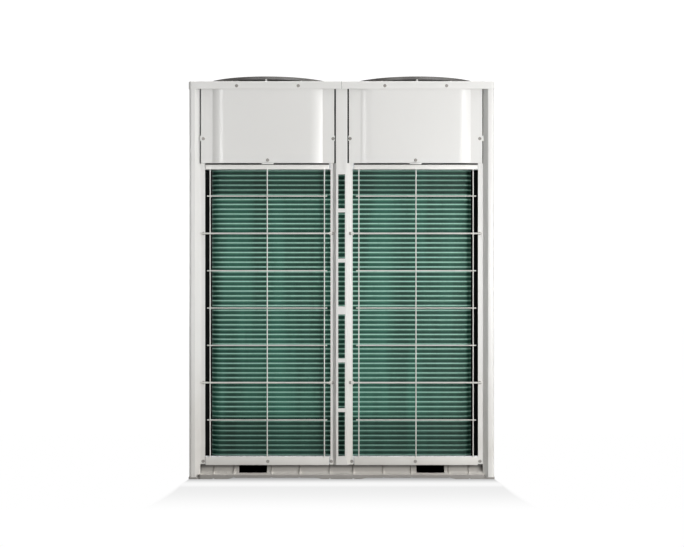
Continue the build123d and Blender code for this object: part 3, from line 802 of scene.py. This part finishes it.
coil_piece = piece("fin_coil", fin_coil(), coil_lacquer, sharp=60)
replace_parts(coil_piece, "coil")
print("coil faces", len(coil_piece.data.polygons))

# %% [markdown]
# ## Coil guards
# A guard is two folded bars joined by welded round wires: uprights behind, rows in front, each crossing
# pressed together under a small weld. The plain rows end free just past the outer uprights. The two strong
# rows reach on to flattened tabs that are screwed to the cabinet.

# %% Wire guard
wire_radius = 2.5 * MM
strong_radius = 3.5 * MM
upright_inset = 20.0 * MM
upright_back = 17.0 * MM
foot_flare = 5.0 * MM        # height of the weld round the foot of an upright
row_back = 12.6 * MM
row_pitch = 157.96 * MM
row_end_gap = 8.0 * MM
foot_bar = 34.8 * MM
top_bar = 20.5 * MM
guard_floor = lower_floor - 5.0 * MM     # the foot bar hangs down past the edge of the pan
first_row = guard_floor + 191.7 * MM
bar_front = 16.0 * MM
bar_back = 22.0 * MM
bar_round = 2.4 * MM
guard_gap = 1.4 * MM
tab_face = carrier_face - 4.0 * MM       # outer face of the tabs
tab_half = 7.0 * MM
tab_round = 1.6 * MM


def weld(bm, x, y, z, size):
    """The flattened metal at a crossing."""
    shape = Matrix.Translation((x, y, z)) @ Matrix.Diagonal((1.0, 0.55, 1.0, 1.0))
    bmesh.ops.create_icosphere(bm, subdivisions=1, radius=size, matrix=shape)


def wire_guard(name, side, x0, x1, left_reach, right_reach):
    """One coil guard in face coordinates, between the x places of its bars."""
    bm = bmesh.new()
    wires_floor = guard_floor + foot_bar
    wires_top = lower_top - top_bar
    slab(bm, x0, x1, bar_front, bar_back, guard_floor, wires_floor, bar_round, 3)
    slab(bm, x0, x1, bar_front, bar_back, wires_top, lower_top, bar_round, 3)
    uprights = (x0 + upright_inset, (x0 + x1) / 2, x1 - upright_inset)
    for x in uprights:
        foot = (x, upright_back, wires_floor - bar_round)
        bar(bm, foot, (x, upright_back, wires_top + bar_round), wire_radius)
        flare = Matrix.Translation((x, upright_back + 0.6 * MM, wires_floor + foot_flare / 2 - 1 * MM))
        cone(bm, flare, 1.7 * wire_radius, wire_radius, foot_flare, 12)
    rows = int((wires_top - first_row) // row_pitch) + 1
    for row in range(rows):
        z = first_row + row * row_pitch
        strong = row in (1, rows - 2)
        radius = strong_radius if strong else wire_radius
        start = x0 - guard_gap - left_reach if strong else x0 + row_end_gap
        finish = x1 + guard_gap + right_reach if strong else x1 - row_end_gap
        bar(bm, (start, row_back, z), (finish, row_back, z), radius)
        for x in uprights:
            weld(bm, x, upright_back - wire_radius, z, 1.25 * radius)
        if strong:
            for x, reach in ((start, left_reach), (finish - right_reach, right_reach)):
                slab(bm, x, x + reach, tab_face, carrier_face, z - tab_half, z + tab_half, tab_round)
    place_face(bm, side)
    return piece(name, bm, guard_paint, sharp=40)


# %% Guards of three faces
guard_inset = 67.5 * MM
guard_inner = 53.0 * MM
guard_outer = half_width - guard_inset
side_guard = half_depth - guard_inset
mullion_reach = 12.0 * MM
post_reach = 17.0 * MM
for hand, sign in HANDS:
    bay = span_of(sign, guard_inner, guard_outer)
    reaches = (post_reach, mullion_reach) if sign < 0 else (mullion_reach, post_reach)
    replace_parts(wire_guard(f"wire_guard_front_{hand}", "front", *bay, *reaches), f"coil_guard_front_{hand}")
    made = wire_guard(f"wire_guard_side_{hand}", hand, -side_guard, side_guard, post_reach, post_reach)
    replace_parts(made, f"coil_guard_{hand}")

# %% [markdown]
# ## Screws and rivets
# The cabinet is held with hexagon screws on washer flanges, and small rivets hold its hidden clips. They are
# tiny, but in the photograph each one is a dark dot with a bright rim, so they are modelled: a shallow cone
# for the flange, and a six-sided head with a dimple. All the screws of a face are one mesh.

# %% Screw
flange_radius = 7.0 * MM
head_radius = 5.1 * MM
head_height = 3.6 * MM
head_turn = 0.37             # turn in radians from one screw's head to the next
rivet_radius = 2.2 * MM
DIMPLE = ((1.3 * MM, 0.0), (0.8 * MM, -0.9 * MM))     # width and depth of the two insets of a head


def screw(bm, x, y, z, turn):
    """A screw in face coordinates whose flange seats at depth y."""
    tall = low_head if y < 0 else head_height
    facing = Matrix.Translation((x, y, z)) @ Matrix.Rotation(math.radians(90), 4, "X")
    flange = facing @ Matrix.Translation((0, 0, tall / 6))
    cone(bm, flange, flange_radius, 0.82 * flange_radius, tall / 3, 18)
    head = facing @ Matrix.Translation((0, 0, tall / 2)) @ Matrix.Rotation(turn, 4, "Z")
    corners = cone(bm, head, head_radius, head_radius, tall, 6)
    face = min({f for v in corners for f in v.link_faces}, key=lambda f: f.calc_center_median().y)
    for width, depth in DIMPLE:
        bmesh.ops.inset_region(bm, faces=[face], thickness=width, depth=depth, use_even_offset=True)


def rivet(bm, x, y, z):
    """A small domed rivet head."""
    shape = Matrix.Translation((x, y, z)) @ Matrix.Diagonal((1.0, 0.45, 1.0, 1.0))
    bmesh.ops.create_uvsphere(bm, u_segments=12, v_segments=6, radius=rivet_radius, matrix=shape)


def fasteners(side, screws, rivets):
    """All the screws and rivets of one face, as two meshes."""
    bm = bmesh.new()
    for i, place in enumerate(screws):
        screw(bm, *place, head_turn * i)
    place_face(bm, side)
    piece(f"screws_{side}", bm, screw_zinc, sharp=25)
    bm = bmesh.new()
    for place in rivets:
        rivet(bm, *place)
    place_face(bm, side)
    piece(f"rivets_{side}", bm, guard_paint)


# %% Places of the screws
cover_face = cad_low[1] + half_depth + low_head
skirt_screws = (183.0 * MM, 443.5 * MM)
skirt_level = 1660.5 * MM
panel_screw_level = 1438.5 * MM
pad_screw_level = 1347.0 * MM
foot_level = 72.0 * MM
foot_shift = 2.0 * MM        # the screw at a post's foot sits a little further out
rivet_levels = (164 * MM, 660 * MM, 721 * MM, 794 * MM, 1290 * MM)
strong_levels = (first_row + row_pitch, first_row + 5 * row_pitch)
screw_inset = 59.5 * MM
bay_middle = 312.5 * MM
pan_screw = 43.5 * MM        # beside the foot of the mullion
mullion_screw = 36.0 * MM
post_screw = half_width - screw_inset
side_screw = half_depth - screw_inset
flange_screws = (mullion_screw, post_screw)

for side in ("front", "rear"):
    screws = []
    rivets = []
    for sign in (-1, 1):
        screws += [(sign * x, cover_face, skirt_level) for x in skirt_screws]
        screws += [(sign * x, flat_setback, panel_screw_level) for x in flange_screws]
        screws.append((sign * bay_middle, pad_setback, pad_screw_level))
        screws.append((sign * (post_screw + foot_shift), carrier_face, foot_level))
        rivets += [(sign * post_screw, carrier_face, z) for z in rivet_levels]
        if side == "front":
            screws.append((sign * bay_middle, bar_front, foot_level))
            screws.append((sign * pan_screw, carrier_face - sheet, foot_level))
            screws += [(sign * x, tab_face, z) for z in strong_levels for x in (post_screw, mullion_screw)]
        else:
            screws += [(sign * x, flat_setback, z) for x in flange_screws for z in strong_levels]
            screws.append((sign * bay_middle, pad_setback, foot_level + 5 * MM))
    fasteners(side, screws, rivets)
for side in ("left", "right"):
    screws = []
    rivets = []
    for sign in (-1, 1):
        screws.append((sign * side_screw, flat_setback, panel_screw_level))
        screws.append((sign * (side_screw + foot_shift), carrier_face, foot_level))
        screws += [(sign * side_screw, tab_face, z) for z in strong_levels]
        rivets += [(sign * side_screw, carrier_face, z) for z in rivet_levels]
    screws += [(0, bar_front, foot_level), (0, pad_setback, pad_screw_level)]
    fasteners(side, screws, rivets)

# %% [markdown]
# ## Panel tabs
# Beside each side screw a short tab of the panel bridges the dark gap to the post or the mullion, and one
# more hooks over the guard under the middle of the panel. They are plain tongues of the same sheet.

# %% Tabs
bridge_back = flat_setback + 1.6 * MM
bridge_floor = upper_floor + 94.3 * MM
bridge_top = bridge_floor + 22.0 * MM
bridge_reach = 6.0 * MM      # how far a side tab stands out past the edge of its panel
bridge_lap = 1.0 * MM
hook_half = 25.0 * MM
hook_floor = upper_floor - 5.4 * MM
tongue_edge = 0.4 * MM
for side in ("front", "rear"):
    bm = bmesh.new()
    for sign in (-1, 1):
        inner = span_of(sign, bay_inner - bridge_reach, bay_inner + bridge_lap)
        outer = span_of(sign, bay_outer - bridge_lap, bay_outer + bridge_reach)
        for span in (inner, outer):
            slab(bm, *span, flat_setback, bridge_back, bridge_floor, bridge_top, tongue_edge)
        hook = span_of(sign, bay_middle - hook_half, bay_middle + hook_half)
        slab(bm, *hook, pad_setback, pad_setback + sheet, hook_floor, upper_floor + sheet, tongue_edge)
    place_face(bm, side)
    piece(f"panel_tabs_{side}", bm, cabinet_paint)
print("tabs from", round(bridge_floor, 4), "to", round(bridge_top, 4))

# %% [markdown]
# ## Painted shade in the gaps
# The gap beside a panel is a narrow dark line of shade, so a strip of black is put in it on the slope of the
# post or the mullion as painted shade. The strips are prisms drawn in plan and raised over the height of the
# panel. Flat ones lie as painted shade in the gap between a guard and the panel above it, and a thin
# black slab does the same in the seam between the two covers.

# %% Shade strips
STRIP_GAP = 0.2 * MM
STRIP_DEPTHS = (16.4 * MM, 19.6 * MM)
MULLION_STRIP = ((24.6, 7.4), (25.6, 6.4), (31.6, 12.4), (30.6, 13.4))          # mm from the middle
POST_STRIP = ((-49.2, 13.5), (-46.6, 13.5), (-46.6, 19.6), (-49.2, 19.6))       # mm from the cabinet's edge


def strip(bm, plan, floor, top):
    """An upright prism over a plan outline."""
    face = bm.faces.new([bm.verts.new((x, y, floor)) for x, y in plan])
    raised = bmesh.ops.extrude_face_region(bm, geom=[face])["geom"]
    move(bm, raised, (0, 0, top - floor))


for side in FACES:
    bm = bmesh.new()
    wide = side in ("front", "rear")
    half = half_width if wide else half_depth
    for floor, top in (upper, lower) if side == "rear" else (upper,):
        for sign in (-1, 1):
            strip(bm, [(sign * (half + x * MM), y * MM) for x, y in POST_STRIP], floor, top)
            if wide:
                strip(bm, [(sign * x * MM, y * MM) for x, y in MULLION_STRIP], floor, top)
    reach = half + POST_STRIP[0][0] * MM
    spans = ((guard_inner, guard_outer), (-guard_outer, -guard_inner)) if wide else ((-reach, reach),)
    for x0, x1 in spans:
        front, back = STRIP_DEPTHS
        plan = ((x0, front), (x1, front), (x1, back), (x0, back))
        strip(bm, plan, lower_top + STRIP_GAP, upper_floor - STRIP_GAP)
    bmesh.ops.recalc_face_normals(bm, faces=bm.faces)
    place_face(bm, side)
    piece(f"gap_shade_strips_{side}", bm, black_seal)

# %% Seam of the covers
cover_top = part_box("top_cover_left")[1][2]
seam_half = 0.45 * MM
seam_floor = cover_top - 2.0 * MM
seam_drop = 32.0 * MM        # how far down the skirts the seam runs
seam_edge = half_depth + 0.6 * MM
bm = bmesh.new()
# A black slab in the seam between the covers, as painted shade.
slab(bm, -seam_half, seam_half, -seam_edge, seam_edge, seam_floor, cover_top - 0.6 * MM)
for sign in (-1, 1):
    depth = span_of(sign, seam_edge, seam_edge - 1.2 * MM)
    slab(bm, -seam_half, seam_half, *depth, cover_top - seam_drop, seam_floor)
piece("cover_seam", bm, black_seal)
print("seals made, covers up to", round(cover_top, 4))

# %% [markdown]
# ## Fans
# A fan is a hub with four broad blades, twisted and swept so that the root bites more than the tip. A blade
# is a flat grid bent into shape point by point: across it the camber, along it the twist and the sweep.
# Solidify gives it thickness, copies are turned about the shaft, and a hub with a rounded rim goes between.

# %% Fan
fan_low, fan_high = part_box("fan_left")
fan_centre = -(fan_low[0] + fan_high[0]) / 2
fan_radius = (fan_high[0] - fan_low[0]) / 2
hub_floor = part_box("fan_motor_left")[1][2]
hub_radius = 78.0 * MM
hub_height = 86.0 * MM
hub_round = 12.0 * MM
blade_count = 4
blade_root = hub_radius - 6.0 * MM
blade_tip = fan_radius - 1.0 * MM
blade_camber = 15.0 * MM
blade_level = 44.0 * MM
blade_thickness = 3.4 * MM
# Each section has its radius and chord in mm, its pitch in degrees and its sweep in mm.
BLADE_SECTIONS = ((70.0, 130.0, 36.0, 0.0), (175.0, 185.0, 27.0, 16.0), (280.0, 205.0, 20.0, 52.0))


def section_at(radius):
    """Chord, pitch and sweep of a blade at one radius, through the three known sections."""
    (r0, *a), (r1, *b), (r2, *c) = BLADE_SECTIONS
    t = radius / MM
    mix = [
        v0 * (t - r1) * (t - r2) / ((r0 - r1) * (r0 - r2))
        + v1 * (t - r0) * (t - r2) / ((r1 - r0) * (r1 - r2))
        + v2 * (t - r0) * (t - r1) / ((r2 - r0) * (r2 - r1))
        for v0, v1, v2 in zip(a, b, c)
    ]
    return mix[0] * MM, math.radians(mix[1]), mix[2] * MM


def fan_wheel(name, centre):
    """Blades and hub of one fan."""
    bm = bmesh.new()
    grid = bmesh.ops.create_grid(bm, x_segments=14, y_segments=12, size=0.5)["verts"]
    for vert in grid:
        along = vert.co.y + 0.5
        across = 2 * vert.co.x
        radius = blade_root + (blade_tip - blade_root) * along
        chord, pitch, sweep = section_at(radius)
        flat = across * chord / 2
        lift = blade_camber * (1 - across ** 2)
        angle = (sweep + flat * math.cos(pitch) - lift * math.sin(pitch)) / radius
        rise = flat * math.sin(pitch) + lift * math.cos(pitch)
        vert.co = (radius * math.cos(angle), radius * math.sin(angle), hub_floor + blade_level + rise)
    bmesh.ops.recalc_face_normals(bm, faces=bm.faces)
    if sum((f.normal for f in bm.faces), Vector()).z < 0:
        bmesh.ops.reverse_faces(bm, faces=bm.faces)
    bmesh.ops.solidify(bm, geom=list(bm.faces), thickness=blade_thickness)
    blade = list(bm.verts) + list(bm.edges) + list(bm.faces)
    for i in range(1, blade_count):
        more = bmesh.ops.duplicate(bm, geom=blade)["geom"]
        turn = Matrix.Rotation(2 * math.pi * i / blade_count, 3, "Z")
        bmesh.ops.rotate(bm, verts=vertices_in(more), cent=(0, 0, 0), matrix=turn)
    middle = Matrix.Translation((0, 0, hub_floor + hub_height / 2))
    cone(bm, middle, hub_radius, hub_radius, hub_height, 64)
    rim_level = hub_floor + hub_height - 0.1 * MM
    # The edges of the blades that stand up past the rim are rounded with it.
    rim = {v for v in bm.verts if v.co.z > rim_level and v.co.xy.length > hub_radius - 1.0 * MM}
    round_off(bm, [line for line in bm.edges if rim.issuperset(line.verts)], hub_round, 5)
    move(bm, bm.verts, (centre, 0, 0))
    return piece(name, bm, fan_plastic, sharp=35)


print("fan radius", round(fan_radius, 4), "at", round(fan_centre, 4))

# %% [markdown]
# ## Bell mouths
# Round each fan stands a ring that flares at its foot, so that air turns into the throat without noise. It
# is a shape of revolution, so its half outline is spun once about the fan's axis, and Solidify gives the
# wall its thickness.

# %% Bell mouth
FANS = (("left", -fan_centre), ("right", fan_centre))
bell_low, bell_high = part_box("bell_mouth_left")
bell_outer = (bell_high[0] - bell_low[0]) / 2
bell_top = bell_high[2]
bell_flare = 28.0 * MM
flare_top = bell_low[2] + bell_flare
flare_steps = 8
throat_radius = fan_radius + 8.0 * MM
throat_round = 4.0 * MM
bell_sheet = 2.5 * MM


def bell_ring(name, centre):
    """The ring: an outline of flange, throat and quarter-round flare, turned about the fan's axis."""
    bm = bmesh.new()
    eased = 0.3 * throat_round
    line = [(bell_outer, bell_top), (throat_radius + throat_round, bell_top)]
    line += [(throat_radius + eased, bell_top - eased), (throat_radius, bell_top - throat_round)]
    for i in range(flare_steps + 1):
        angle = math.radians(90 * i / flare_steps)
        radius = throat_radius + bell_flare * (1 - math.cos(angle))
        line.append((radius, flare_top - bell_flare * math.sin(angle)))
    verts = [bm.verts.new((r, 0, z)) for r, z in line]
    edges = [bm.edges.new(pair) for pair in zip(verts, verts[1:])]
    full_turn(bm, verts + edges, 96)
    bmesh.ops.remove_doubles(bm, verts=bm.verts, dist=merge_reach)
    bmesh.ops.recalc_face_normals(bm, faces=bm.faces)
    flange = max(bm.faces, key=lambda f: f.calc_center_median().xy.length + f.calc_center_median().z)
    if flange.normal.z < 0:
        bmesh.ops.reverse_faces(bm, faces=bm.faces)
    move(bm, bm.verts, (centre, 0, 0))
    return piece(name, bm, dark_plastic, thickness=bell_sheet)


for hand, centre in FANS:
    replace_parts(fan_wheel(f"fan_wheel_{hand}", centre), f"fan_{hand}")
    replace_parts(bell_ring(f"bell_ring_{hand}", centre), f"bell_mouth_{hand}")
print("throat radius", round(throat_radius, 4))

# %% [markdown]
# ## Fan guards
# Above each cover sits a round grille of many fine rings on radial ribs, inside a rim band on short light
# legs. The model has a few many-sided rings as stand-ins. Here each ring is a true ring of round wire, made
# by spinning a small circle, and the rim is a rolled band.

# %% Fan guard
guard_low, guard_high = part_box("fan_guard_left")
guard_top = guard_high[2]
guard_radius = (guard_high[1] - guard_low[1]) / 2
rim_height = 13.0 * MM
rim_wire = 2.2 * MM
rim_sheet = 1.4 * MM
rim_steps = 120
ring_level = guard_top - 4.6 * MM
ring_pitch = 15.0 * MM
ring_wire = 1.6 * MM
first_ring = 50.0 * MM
last_ring = guard_radius - 8.0 * MM
rib_wire = 2.0 * MM
rib_level = ring_level - 3.2 * MM
rib_count = 12
RIB_TURNS = [Matrix.Rotation(2 * math.pi * i / rib_count, 4, "Z") for i in range(rib_count)]


def spun_ring(bm, radius, z, wire, steps):
    """A ring of round wire."""
    placed = Matrix.Translation((radius, 0, z)) @ Matrix.Rotation(math.radians(90), 4, "X")
    circle = bmesh.ops.create_circle(bm, cap_ends=False, segments=6, radius=wire, matrix=placed)["verts"]
    full_turn(bm, circle + edges_at(circle), steps)


def fan_grille(name, centre):
    """Rings, ribs, hub plate and rim band of one guard."""
    bm = bmesh.new()
    radius = first_ring
    while radius < last_ring:
        spun_ring(bm, radius, ring_level, ring_wire, 72)
        radius += ring_pitch
    for turn in RIB_TURNS:
        ends = [turn @ Vector((x, 0, rib_level)) for x in (30 * MM, guard_radius - 2 * MM)]
        bar(bm, *ends, rib_wire, 8)
    cone(bm, Matrix.Translation((0, 0, ring_level - 2 * MM)), 42 * MM, 38 * MM, 4 * MM, 48)
    spun_ring(bm, guard_radius - rim_wire, guard_top - rim_wire, rim_wire, rim_steps)
    placed = Matrix.Translation((0, 0, guard_top - rim_height))
    band = bmesh.ops.create_circle(
        bm, cap_ends=False, segments=rim_steps, radius=guard_radius - 1.5 * MM, matrix=placed
    )["verts"]
    raised = bmesh.ops.extrude_edge_only(bm, edges=edges_at(band))["geom"]
    move(bm, raised, (0, 0, rim_height - rim_wire))
    bmesh.ops.solidify(bm, geom=faces_in(raised), thickness=rim_sheet)
    bmesh.ops.recalc_face_normals(bm, faces=bm.faces)
    move(bm, bm.verts, (centre, 0, 0))
    return piece(name, bm, fan_guard_paint)


def guard_legs(name, centre):
    """Light legs that carry the rim, each a short upright strap on the cover."""
    bm = bmesh.new()
    outer = guard_radius - 2.8 * MM
    inner = outer - 3.2 * MM
    half = 4.0 * MM
    for turn in RIB_TURNS:
        slab(bm, inner, outer, -half, half, cover_top, guard_top - 4 * MM, 0.8 * MM, turn=turn)
    move(bm, bm.verts, (centre, 0, 0))
    piece(name, bm, guard_paint)


for hand, centre in FANS:
    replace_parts(fan_grille(f"fan_grille_{hand}", centre), f"fan_guard_{hand}")
    guard_legs(f"guard_legs_{hand}", centre)
print("guard radius", round(guard_radius, 4))

# %% [markdown]
# ## Pieces kept as they are
# The pan, the beams, the motor brackets, the tube sheets and the corner seals are plain folded sheets that
# show little. They stay as the model has them, and only get their finish. The motors are round, so they get
# a smooth copy with softened edges.

# %% Finish for the kept nodes
KEPT = {
    "base_pan": zinc, "beam": zinc, "motor_bracket": zinc, "coil_end_plate": zinc,
    "corner_seal": black_seal,
}
for name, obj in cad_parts.items():
    for start, finish in KEPT.items():
        if name.startswith(start):
            for used in obj.material_slots:
                used.material = finish
for hand in ("left", "right"):
    smooth_copy(f"fan_motor_{hand}", f"motor_{hand}", motor_paint, 1.0 * MM)
print("kept nodes finished")

# %% [markdown]
# ## Floor
# The unit stands on a white floor. To the camera the floor is a light table that is lit from below, except
# under the unit, where its glow is painted dark as shade, and in a soft painted shadow in front of it, where
# a faint painted mirror image follows. To everything else it is dull grey, so that it throws little light up
# into the base.

# %% Floor
contact = 0.11               # reach of the painted contact shadow in front of the feet
mirror_start = 0.14          # the painted mirror image starts here
mirror_full = 0.20
mirror_end = 0.70            # and has faded out here


def light_table(place):
    """Brightness of the floor, by the distance from the faces of the cabinet."""
    across = place.math("ABSOLUTE", axis_of(place, "X")) - half_width
    along = place.math("ABSOLUTE", axis_of(place, "Y")) - half_depth
    # Painted shade under the unit and a painted contact shadow in front of it, then a faint painted mirror
    # image.
    shadow = between(along, -0.07, contact, 0.26, 0.94) * between(along, -0.13, -0.08)
    image = between(along, mirror_start, mirror_full, 0.0, 0.085)
    fade = between(along, mirror_full, mirror_end, 0.0, 0.15)
    soft = along.math("MAXIMUM", along, 0.0) * 0.35 + 0.012
    beside = between((across + soft * 0.6) / soft, 0.0, 1.0)
    return {
        "Emission Color": across.math("MAXIMUM", shadow - image + fade, beside),
        "Roughness": between(noise(place, 1.5, 2), 0.3, 0.7, 0.16, 0.22),
    }


floor_white = material(
    "studio_floor", light_table, Base_Color=(0, 0, 0, 1), Specular_IOR_Level=0.0, Emission_Strength=1.0
)
floor_tree = floor_white.node_tree
lit = Signal(floor_tree.nodes["Principled BSDF"].outputs["BSDF"])
dull = lit.node("ShaderNodeBsdfDiffuse", None, {"Color": (0.40, 0.40, 0.40, 1)}, "BSDF")
direct = lit.node("ShaderNodeLightPath", None, None, "Is Camera Ray")
both = lit.node("ShaderNodeMixShader", None, {0: direct, 1: dull, 2: lit})
floor_tree.links.new(both.socket, floor_tree.nodes["Material Output"].inputs["Surface"])

bm = bmesh.new()
bmesh.ops.create_grid(bm, x_segments=1, y_segments=1, size=14)
floor_mesh = bpy.data.meshes.new("floor")
bm.to_mesh(floor_mesh)
bm.free()
floor_mesh.materials.append(floor_white)
floor = add_object("floor", floor_mesh)
print("floor reaches", max(vert.co.x for vert in floor_mesh.vertices))

# %% [markdown]
# ## Room and lights
# A small key light far in front, a little to the right, draws the wires' shadows on the coil. A larger light
# on the near right brightens the flanks that face it, and the room grows from dim at the left to bright at
# the right, which keeps the other flanks grey. Two tall cards are seen only as reflections: they draw the
# bright stripe down each curved flank. The lights at the top, the back and the left serve the other sides.

# %% Room and lights
room = bpy.data.worlds.new("studio")
room.use_nodes = True
bpy.context.scene.world = room
background = room.node_tree.nodes["Background"]
background.inputs["Color"].default_value = (1, 1, 1, 1)
direction = Signal(room.node_tree.nodes.new("ShaderNodeTexCoord").outputs["Generated"])
sideways = between(axis_of(direction, "X"), -1.0, 1.0, 0.04, 0.52)
seen = direction.node("ShaderNodeLightPath", None, None, "Is Camera Ray")
room.node_tree.links.new((sideways * (1 - seen) + seen * 1.1).socket, background.inputs["Strength"])


def area_light(name, location, target, size, power):
    """A square softbox aimed at a point."""
    data = bpy.data.lights.new(name, "AREA")
    data.size = size
    data.energy = power
    made = add_object(name, data)
    made.location = location
    made.rotation_euler = (Vector(target) - Vector(location)).to_track_quat("-Z", "Y").to_euler()
    return made


area_light("key", (3.15, -11.8, 0.88), (0, 0, 0.88), 0.55, 265)
area_light("side", (3.4, -4.0, 1.0), (0, 0, 0.9), 1.5, 125)
area_light("top", (0.3, -0.2, 3.9), (0, 0, 0), 3.0, 50)
area_light("back", (-0.6, 6.0, 2.0), (0, 0.4, 0.8), 3.0, 160)
area_light("left", (-5.5, 1.4, 1.3), (-0.65, 0.2, 0.9), 1.5, 110)
card_width = 0.75
card_height = 2.6
for hand, x, power in (("left", -1.95, 84), ("right", 2.45, 76)):
    card = area_light(f"card_{hand}", (x, -4.9, 1.1), (x / 8, -0.4, 1.1), card_width, power)
    card.data.shape = "RECTANGLE"
    card.data.size_y = card_height
    card.visible_diffuse = False
bpy.context.scene.view_settings.view_transform = "Standard"
